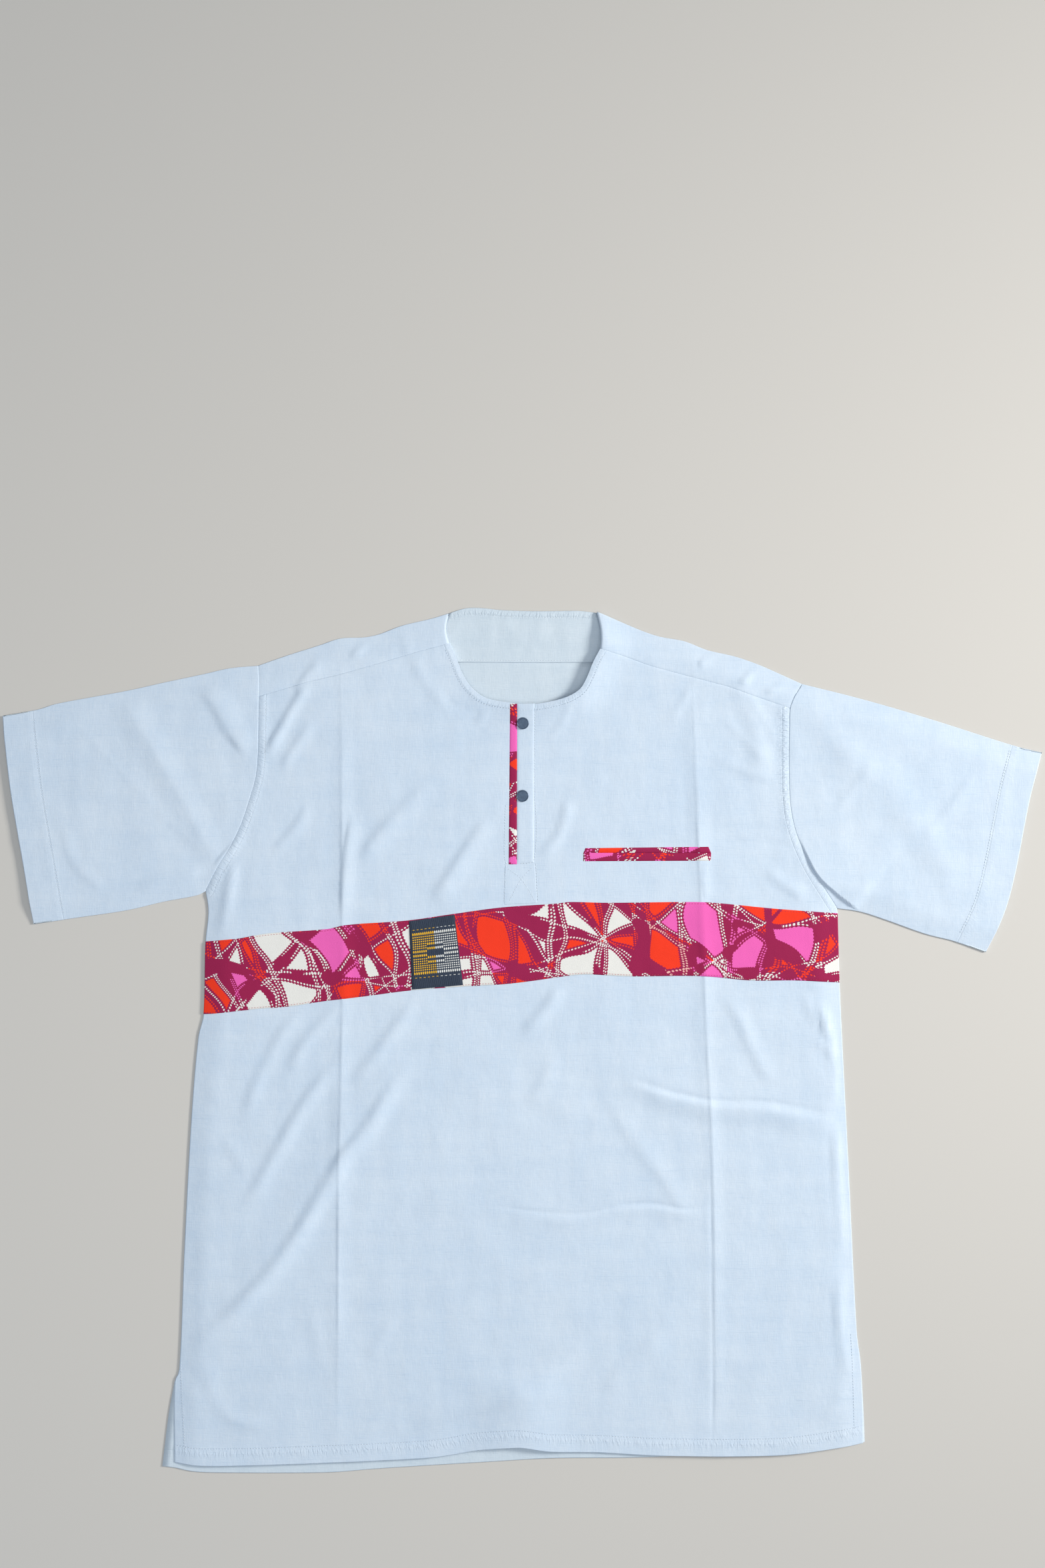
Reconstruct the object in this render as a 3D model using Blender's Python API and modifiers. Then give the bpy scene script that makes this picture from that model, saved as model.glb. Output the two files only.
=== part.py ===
"""A short-sleeved shirt of light-blue chambray with a printed chest band, laid flat, front up.

The back lies on the surface, the front lies on the back, and the yoke and sleeves fold round
from one to the other. Heights, folds and outlines are in millimetres, in a frame whose X runs
to the viewer's right, whose Y runs up the shirt and whose Z is the height above the surface.
"""

import math
from collections import namedtuple

import bmesh
import bpy
from mathutils import Vector
from mathutils.bvhtree import BVHTree

MM = 0.001
WALL = 1.0
SEAM_GAP = 0.4
SLEEVE_GAP = 0.7
LAY_GAP = 0.3
EDGE_HEIGHT = 2 * WALL + LAY_GAP
AIR = 1.7
SIDE_REACH = 26.0
FOLD_INSET = 1.2
EDGE_PULL = 4
MERGE = 0.00001
NECK_RISE = 4.3
NECK_REACH = 24.0
NECK_FADE = 30.0
NECK_AT_FOLD = 0.45

SNAP_RADIUS = 5.9
SNAP_SEAT = 0.7
SNAP_STEPS = 24

Spot = namedtuple("Spot", "x y")
Fold = namedtuple("Fold", "name half_width height route")
Trim = namedtuple("Trim", "name near_left near_right far_right far_left columns rows")


def spots(*pairs):
    return [Spot(*pair) for pair in pairs]


# Side seams, x and y from the front's hem corner up to the underarm
SIDE_LEFT = spots((-344.5, -418), (-344.4, -338), (-340, -328), (-335, -211), (-328, -79),
                  (-321, 3), (-315.8, 26), (-313.8, 98), (-311, 128), (-313.8, 148.8))
SIDE_RIGHT = spots((338, -399), (337.6, -367), (335.6, -321), (331.6, -289), (323, -116),
                   (314.5, 57.4), (312.5, 126), (311.9, 132))

# Edges of the back's side vents, from its own hem corner up to where the vent starts
VENT_LEFT = spots((-356.7, -422.4), (-354.8, -405.6), (-350, -368), (-344.4, -337))
VENT_RIGHT = spots((339.6, -398.3), (338.4, -367), (335.8, -321))

# Armhole seams from the underarm to the shoulder fold, with one spot for each row of the front
ARMHOLE_LEFT = spots((-313.8, 148.8), (-302.6, 171.3), (-290.1, 191.7), (-279, 215), (-270, 242),
                     (-264.5, 262), (-262.5, 284), (-262, 306), (-261.7, 325), (-261.4, 340.6),
                     (-261, 354), (-261.6, 370))
ARMHOLE_RIGHT = spots((311.9, 132), (299, 152), (286.8, 171.9), (276.5, 194), (269.8, 214),
                      (266, 238), (265, 268), (264.8, 292), (265, 312), (265.4, 329),
                      (269.5, 340), (276.9, 352))
FRONT_CORNER = 9
BACK_CORNER = 8

# Front shoulder seams, from the armhole to the neck at the left and from the neck at the right
SEAM_LEFT = spots((-261.4, 340.6), (-216, 354.3), (-182, 362.3), (-143.6, 373.2),
                  (-106, 384.5), (-71.9, 393.7))
SEAM_RIGHT = spots((76.9, 387.8), (102, 380.1), (125, 371.6), (150, 364.7), (203, 350.8),
                   (227, 342.2), (258, 331.5), (265.4, 329))
NECKLINE = spots((-71.9, 393.7), (-64.4, 377.2), (-59.4, 364), (-50.5, 350.1), (-36.6, 339.6),
                 (-14.2, 335), (6.3, 333), (24.1, 335), (43.9, 340.2), (57.1, 348.2),
                 (64.4, 360.7), (69.6, 373.9), (76.9, 387.8))

# Shoulder folds and the back neck edge between them
SHOULDER_LEFT = spots((-261.6, 371.5), (-234, 381.2), (-200, 392), (-180, 398.5), (-156, 399.6),
                      (-141, 402.9), (-120, 410.9), (-90, 418.1), (-72.3, 423.5))
SHOULDER_RIGHT = spots((74, 423.5), (97.4, 414.4), (133, 401.1), (160.7, 395.7), (183, 387.1),
                       (211, 380.5), (234, 372.6), (257.7, 362.2), (276.9, 353.5))
BACK_NECK = spots((-72.3, 423.5), (-58, 428), (-44, 428.7), (-19.5, 426.4), (13, 425.4),
                  (53, 425.4), (74, 423.5))
BACK_YOKE_SEAM = spots((-261.7, 325), (-180, 352), (-75, 377), (77, 374), (160, 345),
                       (265, 312))

# Sleeve edges, from the shoulder or the underarm out to the cuff
SLEEVE_LEFT_TOP = spots((-261.6, 371.5), (-290, 368.9), (-315, 363.3), (-355, 354.8),
                        (-391, 346.8), (-462, 333.6), (-480, 328), (-514.9, 321.8))
SLEEVE_LEFT_BOTTOM = spots((-313.8, 147.6), (-322.4, 143.6), (-355.4, 137.3), (-391, 129),
                           (-444, 121.1), (-484.1, 115.2))
SLEEVE_LEFT_CUFF = spots((-514.9, 321.8), (-512.1, 295.4), (-506, 244.5), (-493.4, 171.3),
                         (-484.1, 115.2))
SLEEVE_RIGHT_TOP = spots((276.9, 353.5), (339.6, 337.6), (407, 317.8), (490, 291.4),
                         (514.9, 285.5))
SLEEVE_RIGHT_BOTTOM = spots((311.9, 130.8), (335, 127.4), (359, 119.8), (400, 105.3),
                            (428.7, 98), (459.4, 87.4))
SLEEVE_RIGHT_CUFF = spots((514.9, 285.5), (503, 241.9), (487.4, 163.4), (477, 126.4),
                          (459.4, 87.4))
SLEEVE_CELLS = 12
ARC_CELLS = 3
YOKE_CELLS = (2, 3)

# Hems, x and y from left to right
FRONT_HEM = spots((-344.5, -418), (-325, -420.4), (-306, -421), (-254, -420), (-147.5, -415.8),
                  (-92, -412.8), (-67.7, -409.5), (-44, -405), (-18, -402.3), (-1, -401.6),
                  (29, -406.2), (77, -407.6), (130, -410.5), (200, -411.5), (254, -410.5),
                  (280, -408), (321, -402), (338, -399))
BACK_HEM = spots((-356.7, -422.4), (-344, -423.8), (-328, -427.4), (-300, -428.7),
                 (-192, -428.4), (-147.5, -425), (-92, -421.4), (-36.6, -418.1), (29, -414.4),
                 (112, -413.7), (147.5, -412.2), (200, -410.5), (280, -406), (339.6, -398.3))

# Chest band, the edges from left to right
BAND_BOTTOM = spots((-315.8, 26), (-305, 26.7), (-267, 31), (-227, 34.3), (-200, 38.6),
                    (-156, 43.9), (-110, 49.8), (-55, 53.8), (-18, 56), (8, 59),
                    (36, 63), (56, 65.3), (71, 65.5), (103, 63.7), (176, 64),
                    (226, 59.7), (270, 59.7), (314.5, 57.4))
BAND_TOP = spots((-313.8, 98), (-300, 99.3), (-280, 101.3), (-254, 106), (-193, 110.6),
                 (-175, 114.5), (-113, 119.1), (-67, 125.7), (-21, 131.9), (33, 135.7),
                 (46, 137.3), (83, 136.6), (176, 137.3), (200, 135.7), (247, 131),
                 (312.5, 126))

# Columns of the front at the level of the band, and its rows as shares of each stretch
COLUMNS = (-315, -303, -291, -264, -236, -207, -178, -150, -120, -90, -72,
           -65, -55, -38, -14.5, -5.5, 12.5, 26, 44, 57, 67, 77,
           101, 127, 153, 180, 207, 234, 261, 288, 301, 313)
NECK_FIRST, NECK_LAST = COLUMNS.index(-72), COLUMNS.index(77)
STRIP_JOIN = COLUMNS.index(-90)
BINDING_EDGE, PLACKET_EDGE, PLACKET_END = (COLUMNS.index(x) for x in (-14.5, -5.5, 12.5))
LOWER_CELLS = 21
BAND_CELLS = 4
BACK_CELLS = (12, 14)
UPPER_SHARES = (0, 0.075, 0.15, 0.225, 0.31, 0.4, 0.49, 0.58, 0.67, 0.76, 0.84, 0.91, 1)
UNDERARM_CELLS = 3
BAND_ROW = LOWER_CELLS
UPPER_ROW = LOWER_CELLS + BAND_CELLS
BOX_ROW = UPPER_ROW + UNDERARM_CELLS
TOP_ROW = UPPER_ROW + len(UPPER_SHARES) - 1
NECK_PLACES = (-44, -19.5, 13, 45)
BOX_OVERHANG = (2.5, 2.0)

# Soft folds of the front layer: half width and height, and a route of spots
FOLDS = [
    Fold("long diagonal fold", 34, 2.6,
         spots((-105, 25), (-173, -101), (-255, -225), (-330, -300))),
    Fold("short diagonal fold", 22, 1.6, spots((-182, -5), (-214, -52), (-250, -100))),
    Fold("fold by the left side", 20, 1.5, spots((-228, 20), (-250, -20), (-272, -60))),
    Fold("slack across the right", 20, 1.8, spots((80, -30), (178, -57), (318, -78))),
    Fold("slack across the middle", 20, 1.2,
         spots((-75, -158), (44, -170), (118, -163), (200, -163))),
    Fold("left press crease", 15, 0.9,
         spots((-178, 400), (-178, 140), (-178, 20), (-182, -174), (-183, -440))),
    Fold("right press crease", 15, 0.9, spots((171, 395), (180, 40), (188, -131), (190, -440))),
    Fold("wave at the hem", 62, 3.6, spots((-3, -470), (-3, -405), (2, -320))),
    Fold("ridge by the right side", 17, 1.4, spots((300, 30), (309, -130), (322, -310))),
    Fold("first pull from the left shoulder", 15, 2.0,
         spots((-214, 362), (-232, 305), (-256, 250))),
    Fold("second pull from the left shoulder", 15, 1.4,
         spots((-196, 358), (-212, 300), (-236, 225))),
    Fold("fold in the left yoke", 13, 1.4, spots((-138, 402), (-158, 380), (-176, 350))),
    Fold("fold in the right yoke", 13, 1.3, spots((150, 400), (166, 372), (186, 345))),
    Fold("pull from the right shoulder", 17, 1.5, spots((205, 370), (228, 320), (240, 250))),
    Fold("left sleeve, upper fold", 20, 2.0, spots((-404, 352), (-350, 262), (-296, 165))),
    Fold("left sleeve, lower fold", 20, 1.4, spots((-435, 305), (-370, 236), (-300, 168))),
    Fold("left sleeve, underarm fold", 16, 1.4, spots((-400, 165), (-350, 168), (-300, 186))),
    Fold("right sleeve, underarm fold", 20, 2.8, spots((272, 215), (300, 168), (350, 122))),
    Fold("right sleeve, long fold", 26, 1.2, spots((290, 300), (370, 235), (450, 130))),
    Fold("right sleeve, upper fold", 22, 1.0, spots((272, 345), (320, 290), (400, 235))),
]

PATCH = Trim("woven_patch", Spot(-109, 50.8), Spot(-58.5, 55.2),
             Spot(-66.9, 124.8), Spot(-112, 118.4), 6, 6)
LOWER_WELT = Trim("welt_lower_lip", Spot(60.4, 177.6), Spot(186.6, 178.2),
                  Spot(187, 185.8), Spot(60.4, 185.8), 10, 1)
UPPER_WELT = Trim("welt_upper_lip", Spot(60.6, 186.2), Spot(186.8, 186.2),
                  Spot(184.2, 192), Spot(62.5, 190.8), 10, 1)
FACING_SEAM = spots((-76, 375.2), (82, 375.2))
FACING_CELLS = (6, 2)
SNAPS = {"snap_upper": Spot(0.6, 314.1), "snap_lower": Spot(0.3, 242.3)}
SNAP_PROFILE = ((0, 1.75), (2.6, 1.7), (4.3, 1.5), (4.9, 1.3), (5.3, 1.4),
                (SNAP_RADIUS, 0.9), (SNAP_RADIUS, 0), (0, 0))

# Colours as linear values, with roughness and metallic value
FINISHES = {
    "chambray": ((0.578, 0.716, 0.855), 0.9, 0.0),
    "chambray_inside": ((0.651, 0.738, 0.791), 0.92, 0.0),
    "wax_print": ((0.352, 0.012, 0.076), 0.8, 0.0),
    "woven_strip": ((0.042, 0.069, 0.117), 0.88, 0.0),
    "snap_metal": ((0.068, 0.102, 0.156), 0.35, 0.9),
}


def start_scene():
    for old in list(bpy.data.objects):
        bpy.data.objects.remove(old, do_unlink=True)
    shirt = bpy.data.collections.new("printed_band_shirt")
    bpy.context.scene.collection.children.link(shirt)
    return shirt


def make_finishes():
    made = {}
    for name, (colour, roughness, metallic) in FINISHES.items():
        finish = bpy.data.materials.new(name)
        finish.use_nodes = True
        shader = finish.node_tree.nodes["Principled BSDF"]
        shader.inputs["Base Color"].default_value = (*colour, 1)
        shader.inputs["Roughness"].default_value = roughness
        shader.inputs["Metallic"].default_value = metallic
        made[name] = finish
    return made


def mix(a, b, share):
    return a + (b - a) * share


def smooth(share):
    share = min(max(share, 0.0), 1.0)
    return share * share * (3 - 2 * share)


def mix_spots(a, b, share):
    return Spot(mix(a.x, b.x, share), mix(a.y, b.y, share))


def y_at(line, x):
    """The height of a line at x; the line's spots run from left to right."""
    for a, b in zip(line, line[1:]):
        if x <= b.x:
            return mix(a.y, b.y, max((x - a.x) / (b.x - a.x), 0))
    return line[-1].y


def x_at(line, y):
    """The x of a side edge at height y; the line's spots run upwards."""
    for a, b in zip(line, line[1:]):
        if y <= b.y:
            return mix(a.x, b.x, max((y - a.y) / (b.y - a.y), 0))
    return line[-1].x


def spot_along(line, share):
    """The spot that lies this share of the way along a line, by length."""
    lengths = [math.dist(a, b) for a, b in zip(line, line[1:])]
    left = share * sum(lengths)
    for a, b, length in zip(line, line[1:], lengths):
        if left <= length:
            return mix_spots(a, b, left / length)
        left -= length
    return line[-1]


def nearest(line, x, y):
    """How far (x, y) lies from a line, and the share of its length where it is nearest."""
    best, where, passed = math.inf, 0.0, 0.0
    for a, b in zip(line, line[1:]):
        length = math.dist(a, b)
        share = ((x - a.x) * (b.x - a.x) + (y - a.y) * (b.y - a.y)) / length ** 2
        share = min(max(share, 0.0), 1.0)
        gap = math.hypot(x - mix(a.x, b.x, share), y - mix(a.y, b.y, share))
        if gap < best:
            best, where = gap, passed + share * length
        passed += length
    return best, where / passed


CLOSED_EDGES = (SIDE_LEFT, SIDE_RIGHT, SHOULDER_LEFT, SHOULDER_RIGHT, SLEEVE_LEFT_TOP,
                SLEEVE_LEFT_BOTTOM, SLEEVE_RIGHT_TOP, SLEEVE_RIGHT_BOTTOM)
NECK_EDGE = ([Spot(-72.3, 423.5)] + NECKLINE + [Spot(77.6, 400), Spot(74, 423.5)])
FOLD_TAPER = 0.22


def fold_height(fold, x, y):
    gap, share = nearest(fold.route, x, y)
    if gap >= fold.half_width:
        return 0.0
    across = 0.5 + 0.5 * math.cos(math.pi * gap / fold.half_width)
    along = smooth(share / FOLD_TAPER) * smooth((1 - share) / FOLD_TAPER)
    return fold.height * across * along


def top_height(x, y):
    """The outer height of the front layer: slack cloth and folds, pressed thin at closed edges."""
    edge = min(nearest(line, x, y)[0] for line in CLOSED_EDGES)
    slack = AIR + sum(fold_height(fold, x, y) for fold in FOLDS)
    neck = nearest(NECK_EDGE, x, y)[0]
    rise = NECK_RISE * math.exp(-((neck / NECK_REACH) ** 2))
    pressed = smooth(edge / SIDE_REACH)
    return EDGE_HEIGHT + slack * pressed + rise * mix(NECK_AT_FOLD, 1, smooth(edge / NECK_FADE))


def patch(bottom, top, left, right, shares):
    """Rows of spots between four edges; left and right hold one spot for each row."""
    first, last = bottom[0].x, bottom[-1].x
    rows = []
    for share, left_end, right_end in zip(shares, left, right):
        plain_left = mix_spots(bottom[0], top[0], share)
        plain_right = mix_spots(bottom[-1], top[-1], share)
        row = []
        for low, high in zip(bottom, top):
            across = (low.x - first) / (last - first)
            plain = mix_spots(low, high, share)
            pull_left, pull_right = (1 - across) ** EDGE_PULL, across ** EDGE_PULL
            row.append(Spot(
                plain.x + (left_end.x - plain_left.x) * pull_left
                + (right_end.x - plain_right.x) * pull_right,
                plain.y + (left_end.y - plain_left.y) * pull_left
                + (right_end.y - plain_right.y) * pull_right))
        rows.append(row)
    return rows


def spread(line, places):
    return [Spot(x, y_at(line, x)) for x in places]


def even_shares(cells):
    return [step / cells for step in range(cells + 1)]


def side_spots(line, low, high, shares):
    heights = [mix(low, high, share) for share in shares]
    return [Spot(x_at(line, y), y) for y in heights]


def front_rows():
    """The front's spots, row by row from the hem to the shoulder seams and the neckline."""
    share_across = [(x - COLUMNS[0]) / (COLUMNS[-1] - COLUMNS[0]) for x in COLUMNS]

    def across(line):
        return spread(line, [mix(line[0].x, line[-1].x, share) for share in share_across])

    hem, band_low, band_high = across(FRONT_HEM), across(BAND_BOTTOM), across(BAND_TOP)
    neck_left, neck_right = NECKLINE[0].x, NECKLINE[-1].x
    top = []
    for x in COLUMNS:
        if x < COLUMNS[NECK_FIRST]:
            share = (x - COLUMNS[0]) / (COLUMNS[NECK_FIRST] - COLUMNS[0])
            top.append(Spot(mix(SEAM_LEFT[0].x, neck_left, share), 0))
        elif x > COLUMNS[NECK_LAST]:
            share = (x - COLUMNS[NECK_LAST]) / (COLUMNS[-1] - COLUMNS[NECK_LAST])
            top.append(Spot(mix(neck_right, SEAM_RIGHT[-1].x, share), 0))
        else:
            top.append(Spot(min(max(x, neck_left), neck_right), 0))
    top = spread(SEAM_LEFT + NECKLINE[1:] + SEAM_RIGHT[1:], [spot.x for spot in top])

    lower_shares, band_shares = even_shares(LOWER_CELLS), even_shares(BAND_CELLS)
    lower = patch(hem, band_low, side_spots(SIDE_LEFT, hem[0].y, band_low[0].y, lower_shares),
                  side_spots(SIDE_RIGHT, hem[-1].y, band_low[-1].y, lower_shares), lower_shares)
    band = patch(band_low, band_high,
                 side_spots(SIDE_LEFT, band_low[0].y, band_high[0].y, band_shares),
                 side_spots(SIDE_RIGHT, band_low[-1].y, band_high[-1].y, band_shares), band_shares)
    under = even_shares(UNDERARM_CELLS)
    left = (side_spots(SIDE_LEFT, band_high[0].y, ARMHOLE_LEFT[0].y, under)
            + ARMHOLE_LEFT[1:FRONT_CORNER + 1])
    right = (side_spots(SIDE_RIGHT, band_high[-1].y, ARMHOLE_RIGHT[0].y, under)
             + ARMHOLE_RIGHT[1:FRONT_CORNER + 1])
    upper = patch(band_high, top, left, right, UPPER_SHARES)
    return lower + band[1:] + upper[1:]


def cloth(name, points, shirt, finish, ring=False, without=()):
    """A wall of cloth. Its outer face runs through rows of points, and a ring joins up at its ends."""
    rows = [row + row[:1] for row in points] if ring else points
    columns = len(rows[0]) - 1
    bm = bmesh.new()
    bmesh.ops.create_grid(bm, x_segments=columns, y_segments=len(rows) - 1, size=1)
    bm.verts.ensure_lookup_table()
    bm.faces.ensure_lookup_table()
    for number, vert in enumerate(bm.verts):
        row, column = divmod(number, columns + 1)
        vert.co = Vector(rows[row][column]) * MM
    cut_away = [face for number, face in enumerate(bm.faces) if divmod(number, columns) in without]
    bmesh.ops.delete(bm, geom=cut_away, context="FACES")
    bmesh.ops.remove_doubles(bm, verts=bm.verts, dist=MERGE)
    bmesh.ops.triangulate(bm, faces=bm.faces, quad_method="FIXED")
    bm.normal_update()
    highest = max(bm.faces, key=lambda face: face.calc_center_median().z)
    if highest.normal.z < 0:
        bmesh.ops.reverse_faces(bm, faces=bm.faces)
    mesh = bpy.data.meshes.new(name)
    bm.to_mesh(mesh)
    bm.free()
    mesh.shade_smooth()
    mesh.materials.append(finish)
    piece = bpy.data.objects.new(name, mesh)
    shirt.objects.link(piece)
    wall = piece.modifiers.new("cloth wall", "SOLIDIFY")
    wall.thickness = WALL * MM
    wall.offset = -1
    wall.use_even_offset = True
    return piece


def make_front(grid, shirt, finishes):
    return cloth("front_panel", grid, shirt, finishes["chambray"])


def make_back(shirt, finishes):
    """The back lies flat on the surface, from its own longer hem up to the yoke."""
    cells_across, cells_up = BACK_CELLS
    share_across = even_shares(cells_across)
    hem = spread(BACK_HEM, [mix(BACK_HEM[0].x, BACK_HEM[-1].x, share) for share in share_across])
    low_left, low_right = ARMHOLE_LEFT[0], ARMHOLE_RIGHT[0]
    waist = [mix_spots(low_left, low_right, share) for share in share_across]
    seam = spread(BACK_YOKE_SEAM,
                  [mix(BACK_YOKE_SEAM[0].x, BACK_YOKE_SEAM[-1].x, share) for share in share_across])
    seam = [Spot(spot.x, spot.y - SEAM_GAP) for spot in seam]
    shares = even_shares(cells_up)
    left_edge = VENT_LEFT + [spot for spot in SIDE_LEFT if spot.y > VENT_LEFT[-1].y]
    right_edge = VENT_RIGHT + [spot for spot in SIDE_RIGHT if spot.y > VENT_RIGHT[-1].y]
    lower = patch(hem, waist, side_spots(left_edge, hem[0].y, low_left.y, shares),
                  side_spots(right_edge, hem[-1].y, low_right.y, shares), shares)
    left = ARMHOLE_LEFT[:BACK_CORNER] + [seam[0]]
    right = ARMHOLE_RIGHT[:BACK_CORNER] + [seam[-1]]
    upper = patch(waist, seam, left, right, even_shares(BACK_CORNER))
    flat = [[(spot.x, spot.y, WALL) for spot in row] for row in lower + upper[1:]]
    return cloth("back_panel", flat, shirt, finishes["chambray_inside"])


def turn_under(x, y, top, outward):
    """Points of a fold, from the outer height of the upper layer down to the surface."""
    radius = top / 2
    turned = []
    for step in range(1, ARC_CELLS):
        angle = math.pi * step / ARC_CELLS
        turned.append((x, y + outward * radius * math.sin(angle), radius + radius * math.cos(angle)))
    return turned


def make_yoke(grid, shirt, finishes):
    """The yoke runs from the front shoulder seams over the shoulder folds to the back seam.

    At the neck only its back part is there, so the cells in front of it are cut away.
    """
    seam = [Spot(x, y + SEAM_GAP) for x, y, _ in grid[TOP_ROW]]
    left_seam, right_seam = seam[:NECK_FIRST + 1], seam[NECK_LAST:]
    front_cells, back_cells = YOKE_CELLS
    columns = []
    for piece, fold_line in ((left_seam, SHOULDER_LEFT), (right_seam, SHOULDER_RIGHT)):
        width = piece[-1].x - piece[0].x
        for spot in piece:
            share = (spot.x - piece[0].x) / width
            fold_x = mix(fold_line[0].x, fold_line[-1].x, share)
            columns.append((spot, Spot(fold_x, y_at(fold_line, fold_x) - FOLD_INSET)))
        if piece is left_seam:
            columns += [(None, Spot(x, y_at(BACK_NECK, x))) for x in NECK_PLACES]
    rows = [[] for _ in range(front_cells + ARC_CELLS + back_cells + 1)]
    back_ends = (BACK_YOKE_SEAM[0].x, BACK_YOKE_SEAM[-1].x)
    whole = columns[-1][1].x - columns[0][1].x
    for spot, fold in columns:
        share = (fold.x - columns[0][1].x) / whole
        start = spot or fold
        front = [mix_spots(start, fold, step) for step in even_shares(front_cells)]
        if share in (0, 1):
            front[1] = (ARMHOLE_LEFT if share == 0 else ARMHOLE_RIGHT)[FRONT_CORNER + 1]
        points = [(at.x, at.y, top_height(at.x, at.y)) for at in front]
        points += turn_under(fold.x, fold.y, points[-1][2], 1)
        back_x = mix(*back_ends, share)
        back = Spot(back_x, y_at(BACK_YOKE_SEAM, back_x))
        flat = [mix_spots(fold, back, step) for step in even_shares(back_cells)]
        if share in (0, 1):
            armhole = ARMHOLE_LEFT if share == 0 else ARMHOLE_RIGHT
            flat[1:3] = [armhole[FRONT_CORNER + 1], armhole[FRONT_CORNER]]
        points += [(at.x, at.y, 0) for at in flat]
        for row, point in zip(rows, points):
            row.append(point)
    neck_cells = range(NECK_FIRST, NECK_FIRST + len(NECK_PLACES) + 1)
    without = {(row, column) for row in range(front_cells + ARC_CELLS) for column in neck_cells}
    return cloth("yoke", rows, shirt, finishes["chambray"], without=without)


def make_facing(shirt, finishes):
    """The facing inside the back neck lies on the yoke and just covers the yoke's back seam."""
    across, up = FACING_CELLS
    inner_neck = [Spot(spot.x, spot.y - LAY_GAP) for spot in BACK_NECK[1:-1]]
    high = [spot_along(inner_neck, share) for share in even_shares(across)]
    low = [mix_spots(*FACING_SEAM, share) for share in even_shares(across)]
    height = 2 * WALL + LAY_GAP
    rows = [[(*mix_spots(a, b, share), height) for a, b in zip(low, high)] for share in even_shares(up)]
    return cloth("back_neck_facing", rows, shirt, finishes["chambray_inside"])


def make_sleeve(name, armhole, top, bottom, cuff, shirt, finishes):
    """A flattened tube, folded along the top and sewn along the underarm, open at both ends."""
    outward = -1 if armhole[0].x < 0 else 1
    start = [Spot(spot.x + outward * SLEEVE_GAP, spot.y) for spot in reversed(armhole)]
    start[0] = Spot(start[0].x, top[0].y - FOLD_INSET)
    start[-1] = Spot(start[-1].x, bottom[0].y + FOLD_INSET)
    heights = [(start[0].y - spot.y) / (start[0].y - start[-1].y) for spot in start]
    end = [spot_along(cuff, share) for share in heights]
    end[0] = Spot(end[0].x, end[0].y - FOLD_INSET)
    end[-1] = Spot(end[-1].x, end[-1].y + FOLD_INSET)
    sections = []
    for step in range(SLEEVE_CELLS + 1):
        share = step / SLEEVE_CELLS
        upper_edge, lower_edge = spot_along(top, share), spot_along(bottom, share)
        plain_upper, plain_lower = (mix_spots(start[end_at], end[end_at], share) for end_at in (0, -1))
        layer = []
        for down, a, b in zip(heights, start, end):
            plain = mix_spots(a, b, share)
            pull_up, pull_down = (1 - down) ** 2, down ** 2
            layer.append(Spot(
                plain.x + (upper_edge.x + outward * SLEEVE_GAP * (1 - share) - plain_upper.x) * pull_up
                + (lower_edge.x + outward * SLEEVE_GAP * (1 - share) - plain_lower.x) * pull_down,
                plain.y + (upper_edge.y - FOLD_INSET - plain_upper.y) * pull_up
                + (lower_edge.y + FOLD_INSET - plain_lower.y) * pull_down))
        upper = [(spot.x, spot.y, top_height(spot.x, spot.y)) for spot in layer]
        under = [(spot.x, spot.y, 0) for spot in reversed(layer)]
        sections.append(upper + turn_under(*upper[-1], -1) + under
                        + list(reversed(turn_under(*upper[0], 1))))
    return cloth(name, sections, shirt, finishes["chambray"], ring=True)


def laid_on_front(name, grid, columns, rows, moves, shirt, finish):
    """A strip that lies on the front, made from the front's own points moved up.

    The moves shift its left, right, lower and upper edges outwards, in that order.
    """
    left, right, down, up = moves
    strip = []
    for row in range(rows[0], rows[1] + 1):
        line = []
        for column in range(columns[0], columns[1] + 1):
            x, y, z = grid[row][column]
            x += right * (column == columns[1]) - left * (column == columns[0])
            y += up * (row == rows[1]) - down * (row == rows[0])
            line.append((x, y, z + LAY_GAP + WALL))
        strip.append(line)
    return cloth(name, strip, shirt, finish)


def surface_of(*pieces):
    bpy.context.view_layer.update()
    graph = bpy.context.evaluated_depsgraph_get()
    return [BVHTree.FromObject(piece, graph) for piece in pieces]


def height_on(surfaces, x, y):
    """The highest surface at and beside (x, y), so that a join between two strips is spanned."""
    down = Vector((0, 0, -1))
    starts = [Vector(((x + aside) * MM, y * MM, 1)) for aside in (-SEAM_GAP, 0, SEAM_GAP)]
    hits = [surface.ray_cast(start, down)[0] for surface in surfaces for start in starts]
    return max(hit.z for hit in hits if hit) / MM


def laid_on(trim, below, shirt, finish):
    """A four-sided trim that lies on other pieces at their measured heights."""
    surfaces = surface_of(*below)
    rows = []
    for up in even_shares(trim.rows):
        left = mix_spots(trim.near_left, trim.far_left, up)
        right = mix_spots(trim.near_right, trim.far_right, up)
        line = [mix_spots(left, right, across) for across in even_shares(trim.columns)]
        rows.append([(at.x, at.y, height_on(surfaces, at.x, at.y) + LAY_GAP + WALL) for at in line])
    return cloth(trim.name, rows, shirt, finish)


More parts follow.
